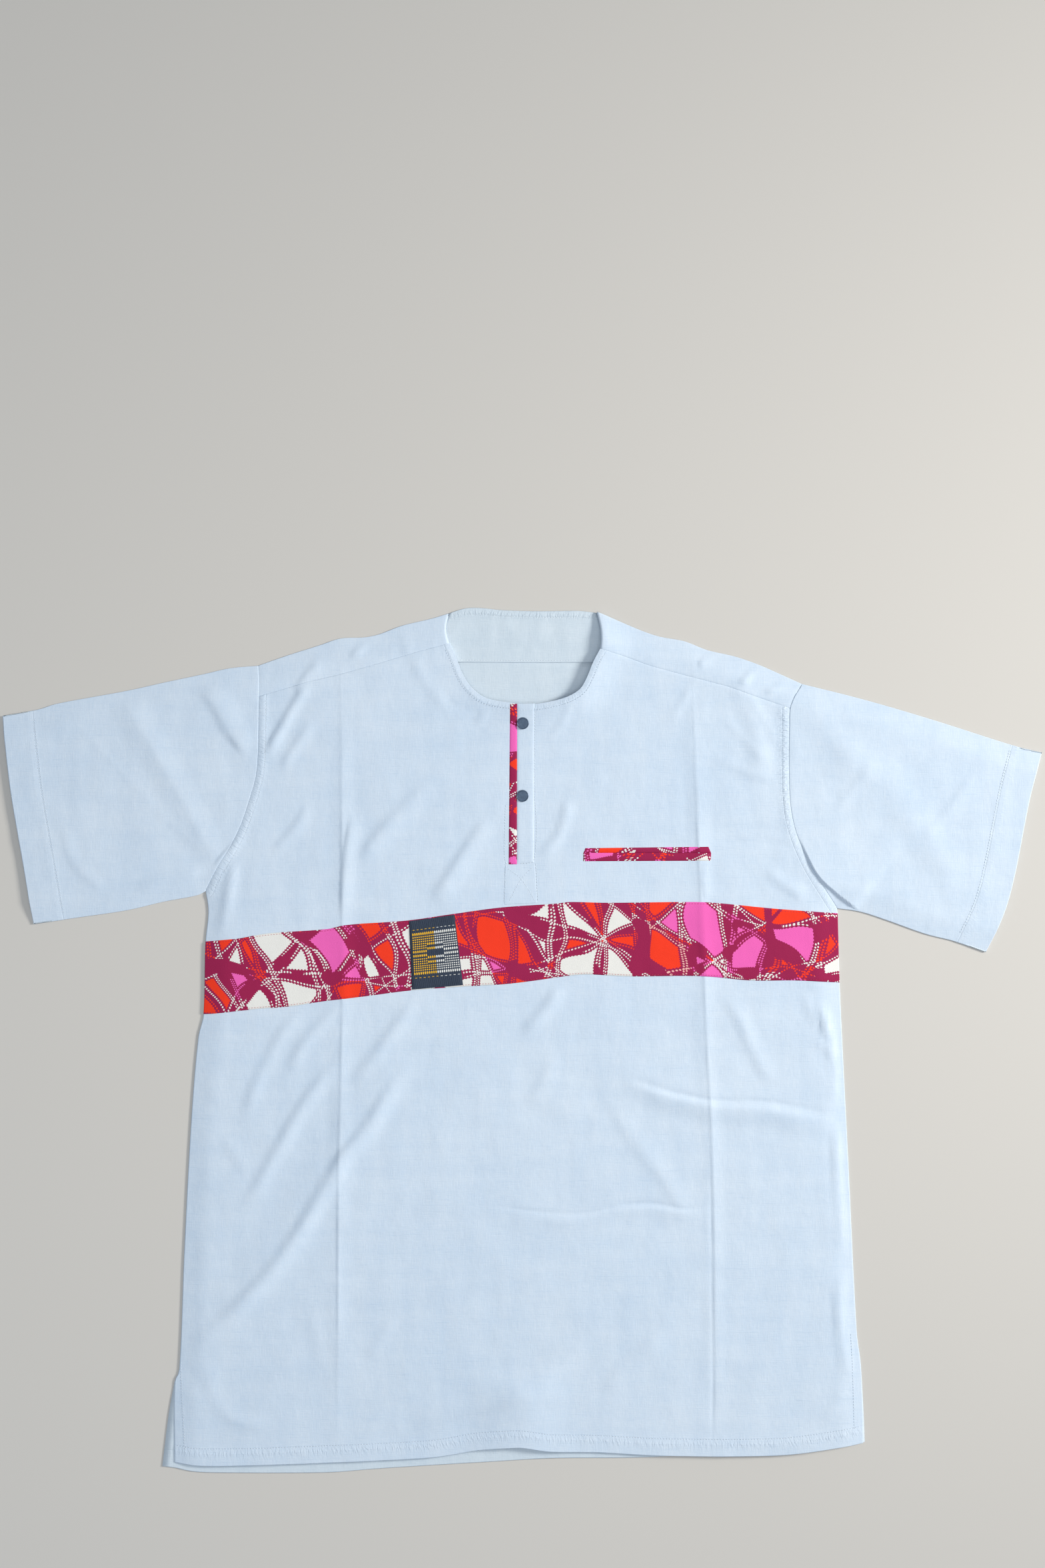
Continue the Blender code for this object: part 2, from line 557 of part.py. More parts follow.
def make_snap(name, spot, placket, shirt, finish):
    """The cap of a ring snap: a turned disc with a shallow groove inside its rim."""
    mesh = bpy.data.meshes.new(name)
    bm = bmesh.new()
    verts = [bm.verts.new((x * MM, 0, z * MM)) for x, z in SNAP_PROFILE]
    for a, b in zip(verts, verts[1:]):
        bm.edges.new((a, b))
    bm.to_mesh(mesh)
    bm.free()
    mesh.materials.append(finish)
    snap = bpy.data.objects.new(name, mesh)
    shirt.objects.link(snap)
    turn = snap.modifiers.new("turned", "SCREW")
    turn.steps = turn.render_steps = SNAP_STEPS
    turn.use_merge_vertices = True
    turn.merge_threshold = MERGE
    surface = surface_of(placket)
    reach = SNAP_RADIUS * SNAP_SEAT
    ahead, behind = (height_on(surface, spot.x, spot.y + way * reach) for way in (1, -1))
    tilt = math.atan2(ahead - behind, 2 * reach)
    level = max((ahead + behind) / 2, height_on(surface, spot.x, spot.y))
    snap.location = Vector((spot.x, spot.y, level + LAY_GAP)) * MM
    snap.rotation_euler = (tilt, 0, 0)
    return snap


def main():
    shirt = start_scene()
    finishes = make_finishes()
    grid = [[(spot.x, spot.y, top_height(spot.x, spot.y)) for spot in row] for row in front_rows()]
    front = make_front(grid, shirt, finishes)
    make_back(shirt, finishes)
    make_yoke(grid, shirt, finishes)
    make_facing(shirt, finishes)
    make_sleeve("sleeve_wearers_right", ARMHOLE_LEFT, SLEEVE_LEFT_TOP, SLEEVE_LEFT_BOTTOM,
                SLEEVE_LEFT_CUFF, shirt, finishes)
    make_sleeve("sleeve_wearers_left", ARMHOLE_RIGHT, SLEEVE_RIGHT_TOP, SLEEVE_RIGHT_BOTTOM,
                SLEEVE_RIGHT_CUFF, shirt, finishes)

    half = SEAM_GAP / 2
    last = len(COLUMNS) - 1
    band_rows = (BAND_ROW, UPPER_ROW)
    left_strip = laid_on_front("band_left_strip", grid, (0, STRIP_JOIN), band_rows,
                               (0, -half, 0, 0), shirt, finishes["wax_print"])
    right_strip = laid_on_front("band_right_strip", grid, (STRIP_JOIN, last), band_rows,
                                (-half, 0, 0, 0), shirt, finishes["wax_print"])
    laid_on(PATCH, [left_strip, right_strip], shirt, finishes["woven_strip"])
    laid_on_front("placket_binding", grid, (BINDING_EDGE, PLACKET_EDGE), (BOX_ROW, TOP_ROW),
                  (0, -half, 0, -half), shirt, finishes["wax_print"])
    placket = laid_on_front("placket", grid, (PLACKET_EDGE, PLACKET_END), (BOX_ROW, TOP_ROW),
                            (-half, 0, 0, -half), shirt, finishes["chambray"])
    laid_on_front("placket_box", grid, (BINDING_EDGE, PLACKET_END), (UPPER_ROW, BOX_ROW),
                  (*BOX_OVERHANG, -SEAM_GAP, -SEAM_GAP), shirt, finishes["chambray"])
    laid_on(LOWER_WELT, [front], shirt, finishes["wax_print"])
    laid_on(UPPER_WELT, [front], shirt, finishes["wax_print"])
    for name, spot in SNAPS.items():
        make_snap(name, spot, placket, shirt, finishes["snap_metal"])


main()
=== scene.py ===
import math
from functools import reduce

import bmesh
import bpy
import numpy as np
from mathutils import Matrix, Vector, noise


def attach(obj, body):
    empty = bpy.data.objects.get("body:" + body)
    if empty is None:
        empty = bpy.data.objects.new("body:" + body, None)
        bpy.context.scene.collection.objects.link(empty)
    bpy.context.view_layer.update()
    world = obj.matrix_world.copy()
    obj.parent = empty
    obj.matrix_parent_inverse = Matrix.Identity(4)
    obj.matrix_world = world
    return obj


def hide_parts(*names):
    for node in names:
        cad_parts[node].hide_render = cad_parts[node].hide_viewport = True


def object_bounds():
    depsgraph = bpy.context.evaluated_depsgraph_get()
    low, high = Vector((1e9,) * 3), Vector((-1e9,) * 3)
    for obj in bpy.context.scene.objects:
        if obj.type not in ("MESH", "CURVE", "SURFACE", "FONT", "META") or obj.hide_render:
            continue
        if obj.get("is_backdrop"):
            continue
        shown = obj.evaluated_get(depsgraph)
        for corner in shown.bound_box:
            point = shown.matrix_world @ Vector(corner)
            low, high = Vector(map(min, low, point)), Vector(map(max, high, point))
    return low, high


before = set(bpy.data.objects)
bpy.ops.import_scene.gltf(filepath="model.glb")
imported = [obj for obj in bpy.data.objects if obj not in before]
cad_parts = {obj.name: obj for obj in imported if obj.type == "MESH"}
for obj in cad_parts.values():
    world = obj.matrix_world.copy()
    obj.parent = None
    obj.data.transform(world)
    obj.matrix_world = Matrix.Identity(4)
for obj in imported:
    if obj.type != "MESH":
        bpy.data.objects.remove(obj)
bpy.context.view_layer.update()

# The pale studio floor, its soft lights and the camera. The photograph looks straight down on
# the shirt, whose collar lies above the middle of the frame, and its light comes from the
# upper right.
MM = 0.001
FLOOR_SIZE = 30.0
FLOOR_DROP = 0.4 * MM
PAPER_COLOUR, PAPER_ROUGHNESS = (0.62, 0.6, 0.57, 1), 0.9
SKY_COLOUR, SKY_STRENGTH = (0.86, 0.93, 1, 1), 0.35
CAMERA_PLACE = (0.0003, 0.2541, 1.512)
LENS_MM, SENSOR_MM = 35, 36
LIT_SPOT = Vector((0, 0.05, 0))
# Each light's place and size in metres, its power in watts, its spread in degrees and its colour
LIGHTS = {
    "key light": ((3.05, 0.98, 1.48), 0.75, 25.8, 80, (1.0, 0.96, 0.89)),
    "fill light": ((-1.2, -0.9, 2.4), 2.2, 12.0, 180, (0.84, 0.92, 1.0)),
    "top light": ((0.3, 0.1, 2.9), 2.6, 17.0, 180, (1.0, 1.0, 1.0)),
}

bm = bmesh.new()
bmesh.ops.create_grid(bm, x_segments=1, y_segments=1, size=FLOOR_SIZE / 2,
                      matrix=Matrix.Translation((0, 0, -FLOOR_DROP)))
floor_mesh = bpy.data.meshes.new("studio_floor")
bm.to_mesh(floor_mesh)
bm.free()
floor = bpy.data.objects.new("studio_floor", floor_mesh)
bpy.context.scene.collection.objects.link(floor)
paper = bpy.data.materials.new("pale paper")
paper.use_nodes = True
paper_shader = paper.node_tree.nodes["Principled BSDF"]
paper_shader.inputs["Base Color"].default_value = PAPER_COLOUR
paper_shader.inputs["Roughness"].default_value = PAPER_ROUGHNESS
floor_mesh.materials.append(paper)
floor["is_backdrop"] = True

camera = bpy.data.objects.new("camera", bpy.data.cameras.new("camera"))
camera.data.sensor_fit = "VERTICAL"
camera.data.sensor_height = SENSOR_MM
camera.data.lens = LENS_MM
camera.location = CAMERA_PLACE
bpy.context.scene.collection.objects.link(camera)
bpy.context.scene.camera = camera

for name, (place, size, power, spread, colour) in LIGHTS.items():
    lamp = bpy.data.objects.new(name, bpy.data.lights.new(name, "AREA"))
    lamp.data.size = size
    lamp.data.energy = power
    lamp.data.spread = math.radians(spread)
    lamp.data.color = colour
    lamp.location = place
    lamp.rotation_euler = (LIT_SPOT - Vector(place)).to_track_quat("-Z", "Y").to_euler()
    bpy.context.scene.collection.objects.link(lamp)
sky = bpy.data.worlds.new("studio")
sky.use_nodes = True
backdrop = sky.node_tree.nodes["Background"]
backdrop.inputs["Color"].default_value = SKY_COLOUR
backdrop.inputs["Strength"].default_value = SKY_STRENGTH
bpy.context.scene.world = sky
bpy.context.scene.view_settings.view_transform = "Standard"

# The back panel, cut in one piece from light-blue chambray and longer than the front, with a
# vent at each side. It lies flat on the surface, and its inside shows through the neck.
CLOTH = 0.45
DOUBLED = 2.0
BACK_TOP = 0.5
BACK_GRID = 7.0
BACK_LOW, BACK_HIGH, BACK_COLUMNS = 571, 190, 96
EDGE_PULL = 4
ARMHOLE_STITCH, HEM_STITCH, NECK_STITCH = 8.0, 17.0, 6.0


def line(*spots):
    return np.array(spots, float)


SIDE_LEFT = line((-344.5, -418), (-344.4, -338), (-340, -328), (-335, -211), (-328, -79),
                 (-321, 3), (-315.8, 26), (-313.8, 98), (-311, 128), (-313.8, 148.8))
SIDE_RIGHT = line((338, -399), (337.6, -367), (335.6, -321), (331.6, -289), (323, -116),
                  (314.5, 57.4), (312.5, 126), (311.9, 132))
VENT_LEFT = line((-356.7, -422.4), (-354.8, -405.6), (-350, -368), (-344.4, -337))
VENT_RIGHT = line((339.6, -398.3), (338.4, -367), (335.8, -321))
ARMHOLE_LEFT = line((-313.8, 148.8), (-302.6, 171.3), (-290.1, 191.7), (-279, 215), (-270, 242),
                    (-264.5, 262), (-262.5, 284), (-262, 306), (-261.7, 325), (-261.4, 340.6),
                    (-261, 354), (-261.6, 370))
ARMHOLE_RIGHT = line((311.9, 132), (299, 152), (286.8, 171.9), (276.5, 194), (269.8, 214),
                     (266, 238), (265, 268), (264.8, 292), (265, 312), (265.4, 329),
                     (269.5, 340), (276.9, 352))
BACK_HEM = line((-356.7, -422.4), (-344, -423.8), (-328, -427.4), (-300, -428.7),
                (-192, -428.4), (-147.5, -425), (-92, -421.4), (-36.6, -418.1), (29, -414.4),
                (112, -413.7), (147.5, -412.2), (200, -410.5), (280, -406), (339.6, -398.3))
BACK_YOKE_SEAM = line((-261.7, 325), (-180, 352), (-75, 377), (77, 374), (160, 345), (265, 312))


def operator(operation, reflected=False):
    """A method that works a value out with others, which come first when it is reflected."""
    def work_out(self, *others):
        values = (*others, self) if reflected else (self, *others)
        return self.node("ShaderNodeMath", {"operation": operation}, dict(enumerate(values)))
    return work_out


class Wire:
    """A value or colour inside a material, with the sums that the cloths' patterns are made of."""

    __add__, __radd__ = operator("ADD"), operator("ADD", True)
    __sub__, __rsub__ = operator("SUBTRACT"), operator("SUBTRACT", True)
    __mul__, __rmul__ = operator("MULTIPLY"), operator("MULTIPLY", True)
    __truediv__, angle_from = operator("DIVIDE"), operator("ARCTAN2")
    abs, floor = operator("ABSOLUTE"), operator("FLOOR")
    sin, least = operator("SINE"), operator("MINIMUM")

    def __init__(self, socket):
        self.socket = socket

    def node(self, kind, settings=None, inputs=None, output=0):
        tree = self.socket.id_data
        made = tree.nodes.new(kind)
        for name, value in (settings or {}).items():
            if name == "stops":
                ramp = made.color_ramp
                ramp.interpolation = "CONSTANT"
                while len(ramp.elements) < len(value):
                    ramp.elements.new(1.0)
                for stop, (place, colour) in zip(ramp.elements, value):
                    stop.position, stop.color = place, colour
            else:
                setattr(made, name, value)
        for name, value in (inputs or {}).items():
            if isinstance(value, Wire):
                tree.links.new(value.socket, made.inputs[name])
            else:
                made.inputs[name].default_value = value
        return Wire(made.outputs[output])

    def rise(self, low, high):
        """0 below low, 1 above high and a soft rise between them."""
        return self.node("ShaderNodeMapRange", {"interpolation_type": "SMOOTHSTEP"},
                         {"Value": self, "From Min": low, "From Max": high})

    def blend(self, colour_a, colour_b):
        """Colour a where this value is 0 and colour b where it is 1."""
        return self.node("ShaderNodeMix", {"data_type": "RGBA"}, {0: self, 6: colour_a, 7: colour_b}, 2)

    def noise(self, scale, detail=2.0, roughness=0.5, output=0):
        return self.node("ShaderNodeTexNoise", None,
                         {"Vector": self, "Scale": scale, "Detail": detail, "Roughness": roughness}, output)

    def mapped(self, scale, turn=0.0, shift=(0, 0, 0)):
        return self.node("ShaderNodeMapping", None,
                         {"Vector": self, "Scale": scale, "Rotation": (0, 0, turn), "Location": shift})

    def grain(self, across, up, detail=2.0):
        """Noise with so many grains in a metre across and up the shirt."""
        return self.mapped((across, up, 1)).noise(1.0, detail)

    def fraction(self):
        return self - self.floor()

    def part(self, number):
        return self.node("ShaderNodeSeparateXYZ", None, {0: self}, number)


def rgb(red, green, blue):
    """A linear colour from one as a screen shows it, 0 to 255."""
    return tuple(((c / 255 + 0.055) / 1.055) ** 2.4 for c in (red, green, blue)) + (1,)


def new_finish(name, roughness):
    """A material, its shader, and a wire that carries the place on the shirt in metres."""
    finish = bpy.data.materials.new(name)
    finish.use_nodes = True
    shader = finish.node_tree.nodes["Principled BSDF"]
    shader.inputs["Roughness"].default_value = roughness
    return finish, shader, Wire(finish.node_tree.nodes.new("ShaderNodeTexCoord").outputs["Object"])


def finish_with(shader, colour, relief, depth):
    """Links a colour, and a relief of 0 to 1 times the depth in metres, to a shader."""
    links = shader.id_data.links
    links.new(colour.socket, shader.inputs["Base Color"])
    raised = relief.node("ShaderNodeBump", None, {"Height": relief, "Distance": depth})
    links.new(raised.socket, shader.inputs["Normal"])


def chambray(name, light, dark, slub=1.0):
    """Plain-woven chambray: pale weft over blue warp, with slubs, puckers beside its seams, and painted
    shade along its stitched grooves.
    """
    finish, shader, place = new_finish(name, 0.88)
    shader.inputs["Specular IOR Level"].default_value = 0.25
    weft, warp = place.grain(90, 1900), place.grain(1900, 80)
    slubs_across = place.grain(30, 620, 3).rise(0.54, 0.8)
    slubs_up = place.mapped((620, 26, 1), shift=(3, 0, 0)).noise(1.0, 3).rise(0.54, 0.82)
    threads = weft * 0.5 + warp * 0.5
    clouds = place.grain(9, 60, 3) * 0.5 + place.grain(60, 9, 3) * 0.5
    tone = ((threads - 0.5) * 0.95 + (place.noise(7.0, 3) - 0.5) * 0.4 + (clouds - 0.5) * 0.7 + 0.56
            - slubs_across * (0.16 * slub) + slubs_up * (0.14 * slub))
    crumple = place.mapped((1, 0.75, 1), 0.5).noise(60.0, 4, 0.6)
    relief = (threads - 0.5) * 0.18 + slubs_across * 0.06 + crumple * 0.42
    for key, stitched, reach in (("armhole_run", ARMHOLE_STITCH, 17.0), ("hem_run", HEM_STITCH, 13.0),
                                 ("neck_run", NECK_STITCH, 9.0)):
        run = place.node("ShaderNodeAttribute", {"attribute_name": key}, output=1)
        away, along, gathered = run.part(0), run.part(1), run.part(2)
        groove = 1 - ((away - stitched).abs() / 0.8).least(1.0)
        near = 1 - ((away - stitched * 0.7).abs() / reach).least(1.0)
        wander = run.mapped((0.05, 0.17, 0)).noise(1.0, 3, 0.65)
        gathers = (along * 1.15 + away * 0.35 + (wander - 0.5) * 26.0).sin() * 0.22 + wander * 1.2
        # Painted shade: the colour is darkened along each stitched groove, where shade falls.
        tone = tone - groove * 0.05
        relief = relief + near * near * near * gathers * gathered - groove * 0.12
    finish_with(shader, tone.blend(dark, light), relief, 0.0011)
    return finish


def lengths_along(route):
    return np.r_[0, np.cumsum(np.hypot(*np.diff(route, axis=0).T))]


def smooth_line(route, spacing=2.0):
    """A line through the route's own spots, rounded between them as cloth lies."""
    knots = np.vstack([2 * route[:1] - route[1:2], route, 2 * route[-1:] - route[-2:-1]])
    run = [route[:1]]
    for a, b, c, d in zip(knots, knots[1:], knots[2:], knots[3:]):
        length = math.dist(b, c)
        t = np.linspace(0, 1, max(int(length / spacing), 1) + 1)[1:, None]
        slope_b = (c - a) / (math.dist(a, b) + length) * length
        slope_c = (d - b) / (math.dist(c, d) + length) * length
        run.append((2 * t**3 - 3 * t**2 + 1) * b + (t**3 - 2 * t**2 + t) * slope_b
                   + (3 * t**2 - 2 * t**3) * c + (t**3 - t**2) * slope_c)
    return np.vstack(run)


def by_share(route, shares):
    passed = lengths_along(route)
    return np.column_stack([np.interp(np.asarray(shares) * passed[-1], passed, route[:, k]) for k in (0, 1)])


def by_x(route, places):
    return np.column_stack([places, np.interp(places, route[:, 0], route[:, 1])])


def by_y(route, heights):
    return np.column_stack([np.interp(heights, route[:, 1], route[:, 0]), heights])


def mix(a, b, share):
    return a + (b - a) * share


def smooth(share):
    share = np.clip(share, 0, 1)
    return share * share * (3 - 2 * share)


def nearest(route, x, y):
    """How far each (x, y) lies from a line, how far along it, and on which side, left above 0."""
    best, where, side, passed = np.full(x.shape, 1e9), np.zeros(x.shape), np.zeros(x.shape), 0.0
    for (ax, ay), (bx, by) in zip(route, route[1:]):
        length = math.hypot(bx - ax, by - ay)
        share = np.clip(((x - ax) * (bx - ax) + (y - ay) * (by - ay)) / length**2, 0, 1)
        gap = np.hypot(x - ax - share * (bx - ax), y - ay - share * (by - ay))
        closer = gap < best
        where = np.where(closer, passed + share * length, where)
        side = np.where(closer, (bx - ax) * (y - ay) - (by - ay) * (x - ax), side)
        best = np.minimum(best, gap)
        passed += length
    return best, where, side


def seam_run(route, x, y, gathers):
    gap, along, _ = nearest(smooth_line(route, 8), x, y)
    return gap, along, np.zeros(gap.shape) + gathers


def patch(bottom, top, left, right, shares):
    """Rows of spots between four edges; left and right hold one spot for each row."""
    shares = np.asarray(shares)[:, None, None]
    plain = bottom * (1 - shares) + top * shares
    across = ((bottom[:, 0] - bottom[0, 0]) / (bottom[-1, 0] - bottom[0, 0]))[None, :, None]
    return (plain + (left[:, None] - plain[:, :1]) * (1 - across) ** EDGE_PULL
            + (right[:, None] - plain[:, -1:]) * across ** EDGE_PULL)


def rows_between(bottom, top, left, right, shares):
    """A patch whose left and right edges lie on two lines that go up from the bottom to the top."""
    return patch(bottom, top, by_y(left, mix(bottom[0, 1], top[0, 1], shares)),
                 by_y(right, mix(bottom[-1, 1], top[-1, 1], shares)), shares)


def rows_for(length, spacing, start=(), end=()):
    """Even shares of a length, with a few close ones in mm beside its start or its end."""
    even = np.linspace(0, 1, max(int(round(length / spacing)), 1) + 1)
    close = [mm / length for mm in start] + [1 - mm / length for mm in end]
    return np.unique(np.round(np.r_[even, close], 5))


def piece_from(bm, name, finishes, node=None):
    """A mesh as a piece of the shirt's one body, in place of the CAD's node if it has one."""
    mesh = bpy.data.meshes.new(name)
    bm.to_mesh(mesh)
    bm.free()
    mesh.shade_smooth()
    piece = bpy.data.objects.new(name, mesh)
    bpy.context.scene.collection.objects.link(piece)
    for finish in finishes:
        mesh.materials.append(finish)
    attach(piece, "root")
    if node:
        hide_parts(node)
    return piece


def sew(node, spots, finishes, thick=CLOTH, ring=False, gone=None, doubled=None, slot="chambray", **runs):
    """A shell of cloth whose outer face runs through a grid of (x, y, z) spots in mm.

    gone marks cells to leave out and doubled how much of a second layer each spot has. A run
    holds the distances from a seam and along it and how much the seam gathers the cloth, which
    the cloth's finish reads.
    """
    rows, columns = spots.shape[:2]
    bm = bmesh.new()
    bmesh.ops.create_grid(bm, x_segments=columns - 1, y_segments=rows - 1, size=1)
    layers = {key: bm.verts.layers.float_vector.new(key) for key in runs}
    runs = {key: np.stack(run, axis=-1).reshape(-1, 3) for key, run in runs.items()}
    second = bm.verts.layers.deform.verify()
    share = np.zeros(rows * columns) if doubled is None else doubled.reshape(-1)
    for number, (vert, spot) in enumerate(zip(bm.verts, spots.reshape(-1, 3))):
        vert.co = Vector(spot) * MM
        vert[second][0] = float(share[number])
        for key, layer in layers.items():
            vert[layer] = runs[key][number]
    if gone is not None:
        lost = [face for face, cut in zip(bm.faces, gone.reshape(-1)) if cut]
        bmesh.ops.delete(bm, geom=lost, context="FACES")
    if ring:
        bmesh.ops.remove_doubles(bm, verts=bm.verts, dist=0.00001)
    bm.normal_update()
    if max(bm.faces, key=lambda face: face.calc_center_median().z).normal.z < 0:
        bmesh.ops.reverse_faces(bm, faces=bm.faces)
    piece = piece_from(bm, node + "_cloth", finishes, node)
    piece.vertex_groups.new(name="second layer")
    wall = piece.modifiers.new("cloth", "SOLIDIFY")
    wall.offset = -1
    wall.material_offset = len(finishes) - 1
    wall.thickness = thick * MM
    if doubled is not None:
        wall.thickness = thick * DOUBLED * MM
        wall.vertex_group = "second layer"
        wall.thickness_vertex_group = 1 / DOUBLED
    return piece


OUTSIDE = chambray("chambray", rgb(220, 231, 243), rgb(184, 206, 230))
# Painted shade: the inside is a copy of the same chambray, painted greyer and less blue, as the back's
# inside looks in the shade through the neck.
SHADED_INSIDE = chambray("chambray inside with painted shade", rgb(219, 230, 239), rgb(186, 204, 220), 0.7)

side_left, side_right = smooth_line(SIDE_LEFT), smooth_line(SIDE_RIGHT)
armhole_left, armhole_right = smooth_line(ARMHOLE_LEFT), smooth_line(ARMHOLE_RIGHT)
back_left = np.vstack([smooth_line(VENT_LEFT)[:-1], side_left[side_left[:, 1] > VENT_LEFT[-1, 1]]])
back_right = np.vstack([smooth_line(VENT_RIGHT)[:-1], side_right[side_right[:, 1] > VENT_RIGHT[-1, 1]]])
across = np.linspace(0, 1, BACK_COLUMNS)
hem = by_x(smooth_line(BACK_HEM), mix(BACK_HEM[0, 0], BACK_HEM[-1, 0], across))
waist = mix(ARMHOLE_LEFT[0], ARMHOLE_RIGHT[0], across[:, None])
seam = by_share(smooth_line(BACK_YOKE_SEAM), across)
low_rows, high_rows = rows_for(BACK_LOW, BACK_GRID, start=(0.8, 2.5)), rows_for(BACK_HIGH, BACK_GRID)
back_plan = np.vstack([rows_between(hem, waist, back_left, back_right, low_rows),
                       rows_between(waist, seam, armhole_left, armhole_right, high_rows)[1:]])
x, y = back_plan[..., 0], back_plan[..., 1]
back_panel = sew("back_panel", np.dstack([x, y, np.full(x.shape, BACK_TOP)]), (SHADED_INSIDE, OUTSIDE),
                 hem_run=seam_run(BACK_HEM, x, y, 0.15))

# The front panel, a second length of chambray over the back. Every slack fold and pressed crease
# on it is given as a long ridge or trough that is steeper on one side than on the other.
GRID, CREASE_GRID, NECK_GRID = 4.4, 1.3, 2.0
FRONT_LOW, FRONT_BAND, FRONT_HIGH = 450, 71, 235
EDGE_RISE, SEAM_EDGE = 1.6, 0.95
AIR, SIDE_REACH, EDGE_ROUND = 1.8, 24.0, 5.0
NECK_RISE, NECK_REACH, NECK_FADE = 3.6, 30.0, 30.0
NECK_STANDS, NECK_ROLL = (0.0, 1.4), 0.3
FOLD_TAPER, FOLD_SCALE, FOLD_WANDER = 0.22, 1.25, 0.4
CRUMPLE = ((38, 38, 0.4), (19, 19, 0.22), (52, 9, 0.14), (9, 60, 0.09))
WANDER_HILL, UNEVEN_HILL = 55, 42
FELL, FELL_RIGHT, HEM_LIFT, DITCH, SEAM_SINK = 0.4, 0.1, 0.22, 0.3, 0.2
FRONT_CORNER = 9
SEAM_FRONT_LEFT = line((-261.4, 340.6), (-216, 354.3), (-182, 362.3), (-143.6, 373.2),
                       (-106, 384.5), (-71.9, 393.7))
SEAM_FRONT_RIGHT = line((76.9, 387.8), (102, 380.1), (125, 371.6), (150, 364.7), (203, 350.8),
                        (227, 342.2), (258, 331.5), (265.4, 329))
NECKLINE = line((-71.9, 393.7), (-64.4, 377.2), (-59.4, 364), (-50.5, 350.1), (-36.6, 339.6),
                (-14.2, 335), (6.3, 333), (24.1, 335), (43.9, 340.2), (57.1, 348.2),
                (64.4, 360.7), (69.6, 373.9), (76.9, 387.8))
SHOULDER_LEFT = line((-261.6, 371.5), (-234, 381.2), (-200, 392), (-180, 398.5), (-156, 399.6),
                     (-141, 402.9), (-120, 410.9), (-90, 418.1), (-72.3, 423.5))
SHOULDER_RIGHT = line((74, 423.5), (97.4, 414.4), (133, 401.1), (160.7, 395.7), (183, 387.1),
                      (211, 380.5), (234, 372.6), (257.7, 362.2), (276.9, 353.5))
SLEEVE_LEFT_TOP = line((-261.6, 371.5), (-290, 368.9), (-315, 363.3), (-355, 354.8),
                       (-391, 346.8), (-462, 333.6), (-480, 328), (-514.9, 321.8))
SLEEVE_LEFT_BOTTOM = line((-313.8, 147.6), (-322.4, 143.6), (-355.4, 137.3), (-391, 129),
                          (-444, 121.1), (-484.1, 115.2))
SLEEVE_RIGHT_TOP = line((276.9, 353.5), (339.6, 337.6), (407, 317.8), (490, 291.4), (514.9, 285.5))
SLEEVE_RIGHT_BOTTOM = line((311.9, 130.8), (335, 127.4), (359, 119.8), (400, 105.3),
                           (428.7, 98), (459.4, 87.4))
FRONT_HEM = line((-344.5, -418), (-325, -420.4), (-306, -421), (-254, -420), (-147.5, -415.8),
                 (-92, -412.8), (-67.7, -409.5), (-44, -405), (-18, -402.3), (-1, -401.6),
                 (29, -406.2), (77, -407.6), (130, -410.5), (200, -411.5), (254, -410.5),
                 (280, -408), (321, -402), (338, -399))
BAND_BOTTOM = line((-315.8, 26), (-305, 26.7), (-267, 31), (-227, 34.3), (-200, 38.6),
                   (-156, 43.9), (-110, 49.8), (-55, 53.8), (-18, 56), (8, 59),
                   (36, 63), (56, 65.3), (71, 65.5), (103, 63.7), (176, 64),
                   (226, 59.7), (270, 59.7), (314.5, 57.4))
BAND_TOP = line((-313.8, 98), (-300, 99.3), (-280, 101.3), (-254, 106), (-193, 110.6),
                (-175, 114.5), (-113, 119.1), (-67, 125.7), (-21, 131.9), (33, 135.7),
                (46, 137.3), (83, 136.6), (176, 137.3), (200, 135.7), (247, 131),
                (312.5, 126))
CREASE_LEFT = line((-179.9, 398), (-177.9, 32), (-179.9, -45), (-181.8, -174), (-183.2, -425))
CREASE_RIGHT = line((169.3, 392), (169.3, 331), (180.8, 40.6), (185.1, -45.2), (188.4, -131),
                    (189.8, -260), (190.4, -345.5), (189.8, -425))

